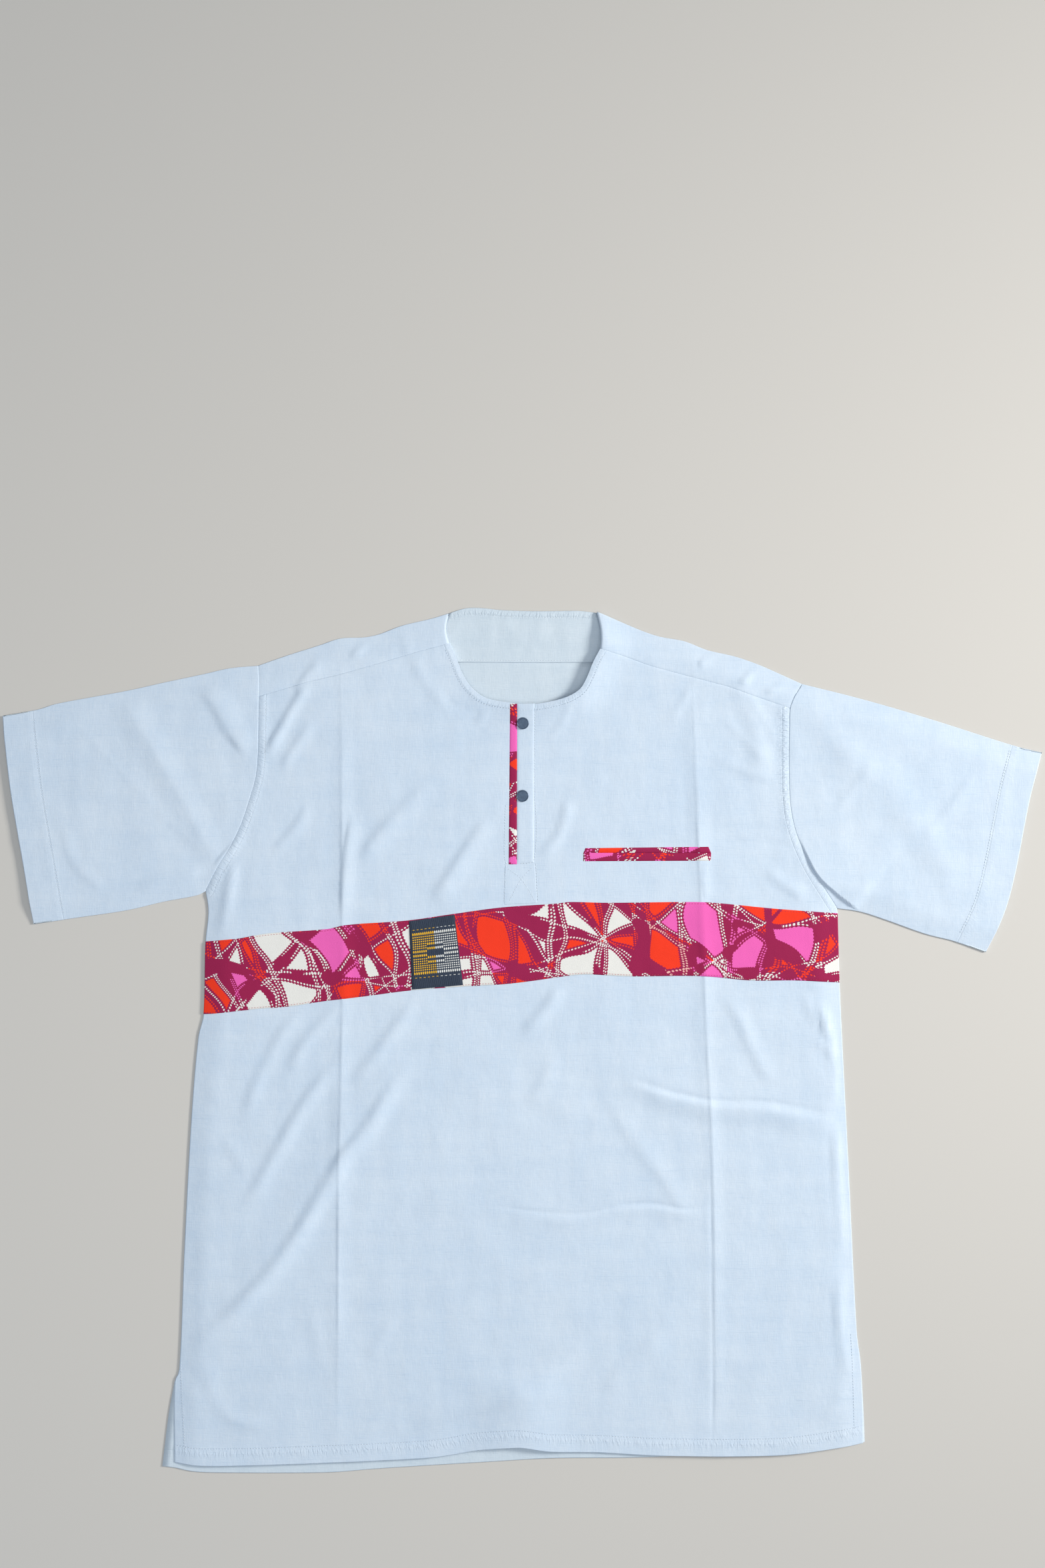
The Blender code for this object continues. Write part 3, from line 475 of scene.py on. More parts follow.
# Soft folds: the width of the long lit slope, that of the short shaded slope, the height and then
# the spots of the route
FOLDS = [
    (24, 7, 1.5, (-324, 351), (-307, 329), (-296, 305), (-274, 279)),
    (14, 6, 1.1, (-384, 142), (-345, 156), (-308, 165)),
    (12, 6, 0.5, (-458, 215), (-448, 177), (-414, 143)),
    (10, 5, 1.9, (-205, 355), (-220, 346), (-241, 312), (-258, 281)),
    (10, 5, 0.9, (-208, 319), (-224, 298), (-241, 270)),
    (12, 5, 1.2, (-212, 238), (-227, 213), (-251, 188)),
    (14, 5, 1.0, (-169, 229), (-176, 188), (-180, 119)),
    (10, 5, 1.6, (-287, 184), (-293, 150), (-306, 101)),
    (20, 7, 1.5, (-89, 263), (-138, 215), (-169, 174)),
    (20, 7, 1.6, (-36, 226), (-69, 174), (-94, 138)),
    (9, 4, 0.9, (-113, 386), (-101, 358), (-69, 322)),
    (6, 3, 0.8, (-36, 329), (-46, 314)),
    (9, 4, 1.6, (-150, 403), (-160, 395), (-172, 379)),
    (8, 4, 0.8, (-122, 405), (-115, 379)),
    (12, 6, 0.8, (-200, 381), (-214, 365), (-227, 346)),
    (8, 4, 0.8, (-279, 203), (-296, 186), (-306, 174)),
    (12, 6, 1.3, (-220, 32), (-240, 11), (-256, -19), (-270, -49), (-278, -82)),
    (12, 6, 1.4, (-181, 39), (-204, 17), (-223, -6), (-235, -35)),
    (14, 7, 1.6, (-179, -14), (-207, -42), (-227, -72), (-243, -101), (-263, -138), (-286, -171)),
    (14, 7, 1.2, (-108, 44), (-134, 8), (-157, -22), (-177, -45)),
    (16, 8, 2.2, (-105, -6), (-141, -55), (-161, -88), (-182, -113), (-207, -157), (-227, -190),
     (-256, -230), (-293, -266), (-341, -309)),
    (14, 7, 0.9, (-322, -319), (-306, -359), (-286, -379), (-243, -387)),
    (12, 6, 0.6, (-129, -270), (-141, -289), (-157, -314)),
    (26, 10, 1.3, (-108, -395), (-82, -377), (-49, -369), (0, -354), (57, -319)),
    (10, 5, 0.5, (-298, -95), (-286, -115), (-273, -134)),
    (12, 6, 0.4, (-214, -266), (-207, -296), (-200, -326)),
    (26, 10, 1.0, (139, -283), (99, -319), (70, -347)),
    (14, 7, 1.3, (37, 60), (20, 34), (-3, 11)),
    (16, 8, 0.8, (30, -9), (17, -35), (0, -68)),
    (18, 8, 0.8, (76, -55), (99, -95), (132, -134), (162, -184)),
    (14, 6, 0.9, (195, 47), (212, 14), (231, -25), (246, -49)),
    (8, 4, 4.2, (291, 41), (299, 17), (306, -22), (308, -72)),
    (9, 5, 2.8, (307, -72), (309, -131), (314, -177), (315, -220)),
    (9, 5, 2.2, (315, -220), (311, -276), (322, -339)),
    (10, 5, 0.5, (317, -342), (306, -359), (297, -382)),
    (12, 5, 1.2, (42, 243), (35, 208), (14, 184)),
    (8, 4, 0.5, (45, 339), (37, 315), (21, 298)),
    (10, 5, 0.6, (180, 181), (178, 160), (181, 138)),
    (12, 6, 0.9, (238, 167), (256, 153), (280, 138)),
    (7, 4, 1.2, (157, 401), (149, 395), (138, 389)),
    (8, 4, 1.6, (194, 393), (183, 381), (171, 372)),
    (7, 4, 1.5, (242, 372), (226, 367), (213, 351)),
    (7, 4, 1.3, (263, 362), (250, 350), (238, 346)),
    (9, 5, 0.6, (166, 351), (152, 332), (145, 319)),
    (9, 5, 0.5, (221, 339), (238, 312), (249, 291)),
    (9, 5, 0.5, (194, 319), (221, 291), (245, 274)),
    (9, 5, 0.6, (187, 277), (221, 263), (254, 257)),
    (22, 7, 1.4, (323, -81), (287, -74), (238, -66), (185, -62), (142, -51), (99, -39)),
    (13, 4, 0.6, (195, -164), (159, -169), (132, -165), (103, -165), (50, -174), (0, -170)),
    (12, 5, 0.5, (435, 162), (397, 157), (363, 146)),
    (8, 4, 0.6, (428, 110), (414, 105), (402, 119)),
    (12, 5, 0.4, (449, 270), (418, 229), (394, 201)),
    (12, 5, 0.4, (345, 277), (321, 246), (304, 226)),
]

# Sharp creases: the reach to the left and to the right of the route, the height, which is below 0
# for a groove, and then the spots of the route
CREASES = [
    (5.0, 1.1, 0.75, *CREASE_LEFT),
    (4.5, 1.3, 0.85, *CREASE_RIGHT),
    (3, 2.2, 0.55, (-398, 346), (-362, 281), (-324, 215), (-303, 174)),
    (3, 2.2, 0.5, (-452, 324), (-403, 274), (-362, 229), (-308, 181)),
    (2.4, 2.4, -1.2, (96, -33), (132, -45), (159, -53), (185, -58), (238, -60), (287, -68), (319, -76)),
    (1.8, 1.8, -1.0, (-39, -162), (0, -167), (50, -171), (76, -169), (103, -162), (132, -161),
     (159, -166), (195, -160)),
    (2.2, 2.2, -0.6, (-49, 11), (-22, 12), (29, 10)),
    (2.2, 2.2, -0.5, (-240, -228), (-184, -233), (-138, -237)),
    (2, 2, -0.2, (-75, -85), (-39, -86), (4, -89)),
    (2, 2, -0.25, (-280, -6), (-263, -6), (-245, -3)),
    (2, 1.8, 1.5, (276, 50), (287, 27), (299, 3)),
    (2, 1.8, 2.6, (290, 4), (301, -9), (315, -19)),
    (2, 2, -0.8, (188, 193), (194, 198), (235, 196), (275, 194)),
    (2.4, 2.4, -0.5, (175, 208), (221, 208), (271, 206)),
    (2, 2, -0.25, (368, 179), (352, 157), (337, 134)),
    (2.4, 1.8, -0.8, (186.5, -110), (187.6, -200), (188, -260), (188.6, -345), (188, -415)),
    (2.4, 2.4, -0.6, (-106.6, 382.5), (-98.7, 364), (-84.8, 344.2), (-61.7, 329.7), (-35.3, 323)),
]

# Wide low swells: half the width, the height and then the spots of the route
SWELLS = [
    (62, 3.6, (-3, -470), (-3, -405), (2, -320)),
    (34, 1.4, (-105, 25), (-173, -101), (-255, -225), (-330, -300)),
    (24, 0.9, (80, -30), (178, -57), (318, -78)),
    (15, 0.5, (-178, 400), (-178, 140), (-178, 20), (-182, -174), (-183, -440)),
    (15, 0.5, (171, 395), (180, 40), (188, -131), (190, -440)),
    (22, 1.2, (-404, 352), (-350, 262), (-296, 165)),
    (17, 0.9, (205, 370), (228, 320), (240, 250)),
    (26, 0.9, (290, 300), (370, 235), (450, 130)),
    (22, 0.8, (272, 345), (320, 290), (400, 235)),
]


def unevenness(x, y, wide, high):
    """Soft hills and hollows from about -1 to 1, each about so wide and so high in mm."""
    heights = [noise.noise((a / wide, b / high, 0.3)) for a, b in zip(x.flat, y.flat)]
    return np.array(heights).reshape(x.shape)


def swell_height(swell, x, y):
    half_width, height, *spots = swell
    route = line(*spots)
    gap, along, _ = nearest(smooth_line(route, 12), x, y)
    share = along / lengths_along(route)[-1]
    rounded = 0.5 + 0.5 * np.cos(math.pi * np.clip(gap / half_width, 0, 1))
    return height * rounded * smooth(share / FOLD_TAPER) * smooth((1 - share) / FOLD_TAPER)


def fold_height(lit, shaded, height, aside):
    """Steep where its route runs, and a long gentle slope to the left of that."""
    return height * smooth(aside / shaded + 0.5) * (1 - smooth((aside - shaded / 2) / lit))


def crease_height(left, right, height, aside):
    return height * np.exp(-np.abs(aside) / np.where(aside > 0, left, right))


def along_routes(profile, rows, x, y, wander, uneven):
    """The height that folds or creases add, each worked out only near its own route."""
    added = np.zeros(x.shape)
    for left, right, height, *spots in rows:
        route, reach = line(*spots), 3.5 * max(left, right)
        near = ((x > route[:, 0].min() - reach) & (x < route[:, 0].max() + reach)
                & (y > route[:, 1].min() - reach) & (y < route[:, 1].max() + reach))
        if near.any():
            run = smooth_line(route, 10)
            moved = wander[near] * min(left, right) * FOLD_WANDER
            gap, along, side = nearest(run, x[near] + moved, y[near] + moved)
            share = along / lengths_along(run)[-1]
            ends = smooth(share / FOLD_TAPER) * smooth((1 - share) / FOLD_TAPER)
            added[near] += profile(left, right, height, np.where(side > 0, gap, -gap)) * ends * uneven[near]
    return added


closed_edges = [smooth_line(edge, 8) for edge in (
    SIDE_LEFT, SIDE_RIGHT, SHOULDER_LEFT, SHOULDER_RIGHT, SLEEVE_LEFT_TOP,
    SLEEVE_LEFT_BOTTOM, SLEEVE_RIGHT_TOP, SLEEVE_RIGHT_BOTTOM)]
neck_edge = np.vstack([[[-72.3, 423.5], [-75.3, 407]], smooth_line(NECKLINE, 5), [[78, 404], [74, 423.5]]])


def top_height(x, y):
    """The outer height of the shirt's upper layer, thin at its sewn and folded edges."""
    edge = np.min([nearest(route, x, y)[0] for route in closed_edges], axis=0)
    wander = unevenness(x, y, WANDER_HILL, WANDER_HILL)
    uneven = 0.85 + 0.5 * unevenness(x, y, UNEVEN_HILL, UNEVEN_HILL)
    slack = AIR + sum(swell_height(swell, x, y) for swell in SWELLS)
    slack = slack + FOLD_SCALE * along_routes(fold_height, FOLDS, x, y, wander, uneven)
    slack = slack + along_routes(crease_height, CREASES, x, y, wander, uneven)
    slack = slack + sum(height * unevenness(x, y, wide, high) for wide, high, height in CRUMPLE)
    neck = nearest(neck_edge, x, y)[0]
    stands = mix(*NECK_STANDS, smooth((x + 70) / 140))
    rise = NECK_RISE * stands * np.exp(-2 * (neck / NECK_REACH) ** 2)
    rounded = mix(SEAM_EDGE, EDGE_RISE, 1 - np.exp(-edge / EDGE_ROUND))
    return (rounded + slack * smooth(edge / SIDE_REACH) - NECK_ROLL * np.exp(-(neck / 2.5) ** 2)
            + rise * mix(0.6, 1, smooth(edge / NECK_FADE)))


def close_places(start, end, spacing, close):
    """Places from start to end, closer beside the spots in close, each (place, reach, spacing)."""
    fine = np.linspace(start, end, 4000)
    density = np.full(fine.shape, 1 / spacing)
    for place, reach, small in close:
        density = density + (1 / small - 1 / spacing) * np.exp(-((fine - place) / reach) ** 2)
    passed = np.r_[0, np.cumsum((density[1:] + density[:-1]) / 2)] * (fine[1] - fine[0])
    count = int(passed[-1]) + 1
    return np.interp(np.linspace(0, passed[-1], count + 1), passed, fine)


# Where the sides, the pressed creases and the neck's ends cross the level lines of the front
BAND_KNOTS = (-315, -178, -72, 77, 180, 313)
HEM_KNOTS = (-344.5, -183.2, -79, 82, 189.8, 338)
LOW_KNOTS = (-315.8, -178, -72, 77, 180.8, 314.5)
HIGH_KNOTS = (-313.8, -178.1, -72, 77, 177.9, 312.5)
TOP_KNOTS = (-261.4, -179.8, -71.9, 76.9, 169.3, 265.4)


def on_level(route, places, knots):
    """Spots on a level line of the front, for places as they are on the middle of the band."""
    return by_x(smooth_line(route), np.interp(places, BAND_KNOTS, knots))


columns = close_places(-315, 313, GRID, (
    (-178, 7, CREASE_GRID), (180, 9, CREASE_GRID), (-68, 12, NECK_GRID), (70, 12, NECK_GRID),
    (-315, 2.5, 0.8), (313, 2.5, 0.8)))
columns[np.abs(columns + 72).argmin()] = -72
columns[np.abs(columns - 77).argmin()] = 77
neck_first, neck_last = np.flatnonzero(columns == -72)[0], np.flatnonzero(columns == 77)[0]
front_top = np.vstack([SEAM_FRONT_LEFT[:-1], smooth_line(NECKLINE), SEAM_FRONT_RIGHT[1:]])
hem = on_level(FRONT_HEM, columns, HEM_KNOTS)
band_low = on_level(BAND_BOTTOM, columns, LOW_KNOTS)
band_high = on_level(BAND_TOP, columns, HIGH_KNOTS)
top = by_x(front_top, np.interp(columns, BAND_KNOTS, TOP_KNOTS))
upper_left = np.vstack([side_left, armhole_left[armhole_left[:, 1] > 149]])
upper_right = np.vstack([side_right, armhole_right[armhole_right[:, 1] > 132.2]])
low_rows = close_places(0, FRONT_LOW, GRID, ((0, 2.5, 0.7), (234, 9, 1.2), (340, 22, 1.6))) / FRONT_LOW
front_plan = np.vstack([
    rows_between(hem, band_low, side_left, side_right, low_rows),
    rows_between(band_low, band_high, side_left, side_right, rows_for(FRONT_BAND, GRID))[1:],
    rows_between(band_high, top, upper_left, upper_right,
                 rows_for(FRONT_HIGH, GRID, end=(0.8, 2.2)))[1:]])
x, y = front_plan[..., 0], front_plan[..., 1]
from_hem, from_neck = seam_run(FRONT_HEM, x, y, 0.4), seam_run(NECKLINE, x, y, 0.25)
arm_left = seam_run(ARMHOLE_LEFT, x, y, 0.3)
arm_right = seam_run(ARMHOLE_RIGHT, x, y, mix(0.35, 0.8, smooth((y - 195) / 40)))
from_armhole = [np.where(x < 0, one, other) for one, other in zip(arm_left, arm_right)]
from_seam = np.minimum(nearest(SEAM_FRONT_LEFT, x, y)[0], nearest(SEAM_FRONT_RIGHT, x, y)[0])
z = top_height(x, y)
fell = np.where(x < 0, FELL, FELL_RIGHT)
z = z + fell * (1 - smooth((from_armhole[0] - ARMHOLE_STITCH) / 1.5)) * smooth(from_armhole[0] / 3)
z = z - SEAM_SINK * (1 - smooth(from_armhole[0] / 2.2))
z = z + HEM_LIFT * (1 - smooth((from_hem[0] - HEM_STITCH) / 1.5))
z = z - DITCH * np.exp(-((from_seam / 1.1) ** 2))
doubled = np.maximum(1 - smooth((from_hem[0] - HEM_STITCH) / 2),
                     1 - smooth((from_neck[0] - NECK_STITCH) / 2))
front_panel = sew("front_panel", np.dstack([x, y, z]), (OUTSIDE, SHADED_INSIDE), doubled=doubled,
                  hem_run=from_hem, neck_run=from_neck, armhole_run=from_armhole)


def offset_line(route, offset):
    """A line moved aside by an offset in mm, to its left when the offset is above 0."""
    ahead = np.gradient(route, axis=0)
    ahead = ahead / np.hypot(*ahead.T)[:, None]
    return route + offset * np.column_stack([-ahead[:, 1], ahead[:, 0]])


STITCH, STITCH_PITCH, STITCH_START = 2.1, 2.8, 0.12
THREAD, THREAD_RISE = 0.22, 0.02


def thread_finish(name, colour):
    finish, shader, place = new_finish(name, 0.6)
    ply = (place.part(0) * 9000.0 + place.part(1) * 9000.0).sin() * 0.5 + 0.5
    tone = ply.blend(tuple(c * 0.8 for c in colour[:3]) + (1,), colour)
    finish_with(shader, tone, ply, 0.0001)
    return finish


def stitch(name, routes, lift, finish, height=top_height):
    """Rows of sewn stitches, one small bead of thread for each, lifted from the cloth below."""
    bm = bmesh.new()
    for route in routes:
        count = max(int(lengths_along(route)[-1] / STITCH_PITCH), 1)
        start, end = (by_share(route, (np.arange(count) + STITCH_START + passed) / count)
                      for passed in (0, STITCH / STITCH_PITCH))
        z_start, z_end = height(*start.T) + lift, height(*end.T) + lift
        for (ax, ay), (bx, by), az, bz in zip(start, end, z_start, z_end):
            a, b = Vector((ax, ay, az)), Vector((bx, by, bz))
            turn = (b - a).to_track_quat("X", "Z").to_matrix().to_4x4()
            size = Matrix.Diagonal(((b - a).length / 2, THREAD, THREAD * 0.7, 1))
            place = Matrix.Scale(MM, 4) @ Matrix.Translation((a + b) / 2 + Vector((0, 0, THREAD_RISE)))
            bmesh.ops.create_icosphere(bm, subdivisions=1, radius=1, matrix=place @ turn @ size)
    piece_from(bm, name, (finish,))


PALE_THREAD = thread_finish("pale thread", rgb(233, 242, 250))
RED_THREAD = thread_finish("red thread", rgb(196, 40, 70))
sewn_left = smooth_line(ARMHOLE_LEFT[:FRONT_CORNER + 1])
stitch("front_stitches", [
    offset_line(smooth_line(FRONT_HEM), HEM_STITCH),
    offset_line(smooth_line(NECKLINE), -NECK_STITCH)[2:-2],
    offset_line(sewn_left, -ARMHOLE_STITCH)[3:],
    smooth_line(line((-338, -318), (-337, -345), (-335.6, -370), (-333.8, -408))),
    smooth_line(line((325.5, -290), (327.5, -330), (329, -385))),
], FELL * 0.8, PALE_THREAD)

# The yoke, cut double across the shoulders. It starts at the front shoulder seams, folds over the
# shoulders and ends in a seam on the back, and only its back part is there behind the neck.
ARC_ROWS = 6
YOKE_FRONT, YOKE_BACK = 38, 48
SEAM_LAP = 0.7
FOLD_INSET = 0.6
BACK_NECK = line((-72.3, 423.5), (-58, 428), (-44, 428.7), (-19.5, 426.4), (13, 425.4),
                 (53, 425.4), (74, 423.5))
YOKE_CORNER = 10


def turn_under(x, y, z, across, up):
    """Rows of spots round a fold, from the outer height of the upper layer down to the surface."""
    angles = np.linspace(0, math.pi, ARC_ROWS + 2)[1:-1, None]
    radius = z / 2
    return np.stack([x + across * radius * np.sin(angles), y + up * radius * np.sin(angles),
                     radius * (1 + np.cos(angles))], axis=-1)


seam_left, seam_right = top[:neck_first + 1], top[neck_last:]
neck_columns = np.linspace(-71, 72.5, 37)[1:-1]
fold_left = by_x(smooth_line(SHOULDER_LEFT), np.interp(seam_left[:, 0], seam_left[[0, -1], 0],
                                                       SHOULDER_LEFT[[0, -1], 0]))
fold_right = by_x(smooth_line(SHOULDER_RIGHT), np.interp(seam_right[:, 0], seam_right[[0, -1], 0],
                                                         SHOULDER_RIGHT[[0, -1], 0]))
fold_neck = by_x(smooth_line(BACK_NECK), neck_columns)
fold = np.vstack([fold_left, fold_neck, fold_right]) - (0, FOLD_INSET)
start = np.vstack([seam_left, fold_neck, seam_right])
in_neck = np.r_[np.zeros(len(seam_left)), np.ones(len(fold_neck)), np.zeros(len(seam_right))].astype(bool)
start[in_neck] = fold[in_neck]
start[~in_neck, 1] -= SEAM_LAP
yoke_shares = rows_for(YOKE_FRONT, 3.2, start=(1.3,))
front_part = mix(start, fold, yoke_shares[:, None, None])
bend_left, bend_right = ARMHOLE_LEFT[YOKE_CORNER], ARMHOLE_RIGHT[YOKE_CORNER]
front_part[:, 0] = by_share(np.array([start[0], bend_left, fold[0]]), yoke_shares)
front_part[:, -1] = by_share(np.array([start[-1], bend_right, fold[-1]]), yoke_shares)
# The neck's opening bows outward between the front seams and the fold
for place, bulge in ((-72, -3.2), (77, 2.4)):
    same_side = np.sign(front_part[..., 0]) == np.sign(place)
    beside = np.exp(-np.abs(front_part[..., 0] - place) / 12) * same_side
    front_part[..., 0] += bulge * beside * np.sin(math.pi * yoke_shares)[:, None]
z = top_height(front_part[..., 0], front_part[..., 1])
z[0] -= SEAM_SINK + DITCH
z[1] -= 0.1
beside_arm = np.minimum(*(nearest(route, front_part[..., 0], front_part[..., 1])[0]
                          for route in (armhole_left, armhole_right)))
z -= SEAM_SINK * (1 - smooth(beside_arm / 2.2))
upper_part = np.dstack([front_part, z])
folded = turn_under(fold[:, 0], fold[:, 1], z[-1], 0, 1)
share = (fold[:, 0] - fold[0, 0]) / (fold[-1, 0] - fold[0, 0])
back_seam = by_x(BACK_YOKE_SEAM, mix(BACK_YOKE_SEAM[0, 0], BACK_YOKE_SEAM[-1, 0], share))
under_shares = rows_for(YOKE_BACK, 7.0)
under_part = mix(fold, back_seam, under_shares[:, None, None])
under_part[:, 0] = by_share(np.array([fold[0], bend_left, back_seam[0]]), under_shares)
under_part[:, -1] = by_share(np.array([fold[-1], bend_right, back_seam[-1]]), under_shares)
under_part = np.dstack([under_part, np.zeros(under_part.shape[:2])])
yoke_spots = np.concatenate([upper_part, folded, under_part])
gone = np.zeros((yoke_spots.shape[0] - 1, yoke_spots.shape[1] - 1), bool)
first_neck, last_neck = np.flatnonzero(in_neck)[[0, -1]]
gone[:len(upper_part) + ARC_ROWS - 1, first_neck - 1:last_neck + 1] = True
yoke = sew("yoke", yoke_spots, (OUTSIDE, SHADED_INSIDE), gone=gone)

# The facing inside the back neck, a shaped strip of the same chambray. It is turned in along the
# neck edge, stitched there, and sewn down over the yoke's back seam.
FACING_TOP, FACING_DEPTH, FACING_GAP, FACING_WAVE = 1.0, 51, 1.1, 0.25
FACING_SEAM = line((-76, 375.2), (-30, 374.6), (30, 374.4), (82, 375.2))
FACING_STITCH = 6.0
shares = np.linspace(0, 1, 40)
high = by_share(smooth_line(BACK_NECK - (0, 0.3)), shares)
low = by_share(smooth_line(FACING_SEAM), shares)
facing_rows = rows_for(FACING_DEPTH, 3.6, start=(0.6,), end=(0.6,))
plan = mix(low, high, facing_rows[:, None, None])
beside_neck = np.sin(math.pi * facing_rows)[:, None]
plan[..., 0] += beside_neck * (4.5 * shares**4 - 6.5 * (1 - shares) ** 4)
x, y = plan[..., 0], plan[..., 1]
from_back_neck = seam_run(BACK_NECK, x, y, 0.45)


def facing_height(x, y):
    beside = smooth((-56 - x) / 16) * np.maximum(top_height(x, y) - FACING_GAP - FACING_TOP, 0)
    waves = FACING_WAVE * unevenness(x, y, 7, 23) * smooth((y - 378) / 8) * smooth((427 - y) / 8)
    return FACING_TOP + beside + waves + FACING_WAVE * smooth((y - 420) / 4)


facing = sew("back_neck_facing", np.dstack([x, y, facing_height(x, y)]), (SHADED_INSIDE, OUTSIDE),
             neck_run=from_back_neck)
stitch("facing_stitches", [
    offset_line(smooth_line(BACK_NECK[1:-1]), -FACING_STITCH),
    smooth_line(FACING_SEAM + (0, 2.0)),
], 0, PALE_THREAD, height=facing_height)

# The short sleeves, each cut in one piece, sewn into the armhole and folded along its top. The
# cuff is a deep plain hem that two rows of stitches hold.
SLEEVE_GRID = 3.0
SLEEVE_ROUND, SLEEVE_OUT = 240, 215
SLEEVE_LAP, SLEEVE_SINK = 1.8, 0.08
CUFF_DEPTH = 30.0
SLEEVE_LEFT_CUFF = line((-514.9, 321.8), (-512.1, 295.4), (-506, 244.5), (-493.4, 171.3), (-484.1, 115.2))
SLEEVE_RIGHT_CUFF = line((514.9, 285.5), (503, 241.9), (487.4, 163.4), (477, 126.4), (459.4, 87.4))
UNDERARM_FOLD = line((272, 204), (279.6, 186), (291.9, 163), (311.4, 144.3), (334, 127))
FOLD_STANDS, FOLD_FADE = 2.1, 45.0


def underarm_lift(x, y):
    """The slack sleeve lies over the side of the shirt here, along a fold that points down."""
    route = smooth_line(UNDERARM_FOLD, 5)
    gap, along, side = nearest(route, x, y)
    share = along / lengths_along(route)[-1]
    return (FOLD_STANDS * smooth(np.where(side > 0, gap, 0) / 0.9) * np.exp(-gap / FOLD_FADE)
            * smooth(share / 0.35) * smooth((1 - share) / 0.12))


def sleeve(node, armhole, top_edge, bottom_edge, cuff):
    """A tube of cloth laid flat: the layer on top, the turn below it, the underside, the upper turn."""
    outward = -1 if armhole[0, 0] < 0 else 1
    start = smooth_line(armhole)[::-1] - (outward * SLEEVE_LAP, 0)
    start[0, 1], start[-1, 1] = top_edge[0, 1] - FOLD_INSET, bottom_edge[0, 1] + FOLD_INSET
    down = rows_for(SLEEVE_ROUND, SLEEVE_GRID, start=(0.6, 1.8), end=(0.6, 1.8))
    start = by_share(start, down)
    end = by_share(smooth_line(cuff), down)
    end[0, 1] -= FOLD_INSET
    end[-1, 1] += FOLD_INSET
    out = rows_for(SLEEVE_OUT, SLEEVE_GRID, start=(0.7, 1.4, *np.arange(3.5, 24, 1.0)), end=(0.7,))
    upper_edge = by_share(smooth_line(top_edge) - (0, FOLD_INSET), out)
    lower_edge = by_share(smooth_line(bottom_edge) + (0, FOLD_INSET), out)
    plain = mix(start, end, out[:, None, None])
    pull_up, pull_down = (1 - down)[None, :, None] ** 2, down[None, :, None] ** 2
    plan = (plain + (upper_edge[:, None] - plain[:, :1]) * pull_up
            + (lower_edge[:, None] - plain[:, -1:]) * pull_down)
    x, y = plan[..., 0], plan[..., 1]
    from_cuff = nearest(smooth_line(cuff, 8), x, y)[0]
    z = top_height(x, y) + HEM_LIFT * (1 - smooth((from_cuff - CUFF_DEPTH) / 1.5))
    z = z + underarm_lift(x, y)
    z -= SLEEVE_SINK * (1 - smooth(out * SLEEVE_OUT / SLEEVE_LAP))[:, None]
    upper = np.dstack([x, y, z])
    under = upper[:, ::-1].copy()
    under[..., 2] = 0
    top_turn = turn_under(x[:, 0], y[:, 0], z[:, 0], 0, 1).transpose(1, 0, 2)[:, ::-1]
    low_turn = turn_under(x[:, -1], y[:, -1], z[:, -1], 0, -1).transpose(1, 0, 2)
    ring = np.concatenate([upper, low_turn, under, top_turn, upper[:, :1]], axis=1)
    rx, ry = ring[..., 0], ring[..., 1]
    cuff_run, armhole_run = seam_run(cuff, rx, ry, 0.12), seam_run(armhole, rx, ry, 0.2)
    hem_run = (cuff_run[0] - CUFF_DEPTH + HEM_STITCH, cuff_run[1], cuff_run[2])
    armhole_run = (armhole_run[0] + 2 * ARMHOLE_STITCH, armhole_run[1], armhole_run[2])
    flat, turned = smooth(np.minimum(down, 1 - down) * SLEEVE_ROUND / 4), np.zeros(ARC_ROWS)
    doubled = (1 - smooth((cuff_run[0] - CUFF_DEPTH) / 2)) * np.r_[flat, turned, flat, turned, flat[:1]]
    piece = sew(node, ring, (OUTSIDE, SHADED_INSIDE), ring=True,
                doubled=doubled, hem_run=hem_run, armhole_run=armhole_run)
    stitch(node + "_cloth_stitches", [
        offset_line(smooth_line(cuff), -outward * (CUFF_DEPTH + aside))[3:-3] for aside in (0, 1.6)
    ], HEM_LIFT * 0.7, PALE_THREAD)


sleeve("sleeve_wearers_right", ARMHOLE_LEFT, SLEEVE_LEFT_TOP, SLEEVE_LEFT_BOTTOM, SLEEVE_LEFT_CUFF)
sleeve("sleeve_wearers_left", ARMHOLE_RIGHT, SLEEVE_RIGHT_TOP, SLEEVE_RIGHT_BOTTOM, SLEEVE_RIGHT_CUFF)

# The chest band, two strips of wax-printed cotton with their edges turned under, joined below the
# woven patch and sewn down with red thread close to both edges.
BAND_LIFT, BAND_EDGE = 0.75, 0.15
STRIP_JOIN, STRIP_DEPTH, STRIP_GRID = -90.0, 72, 3.4
MAROON, ORANGE, PINK, WHITE = rgb(158, 24, 78), rgb(252, 58, 24), rgb(246, 104, 190), rgb(240, 240, 236)
PRINT_SHARES = ((0, WHITE), (0.27, ORANGE), (0.8, PINK))
DOT_PITCH, DOT_RADIUS = 2.65, 0.8
STEMS = (((-560, -60), 42.0, 15.5), ((150, -330), 47.0, 14.5), ((330, 420), 53.0, 12.0),
         ((-150, 600), 60.0, 10.5))


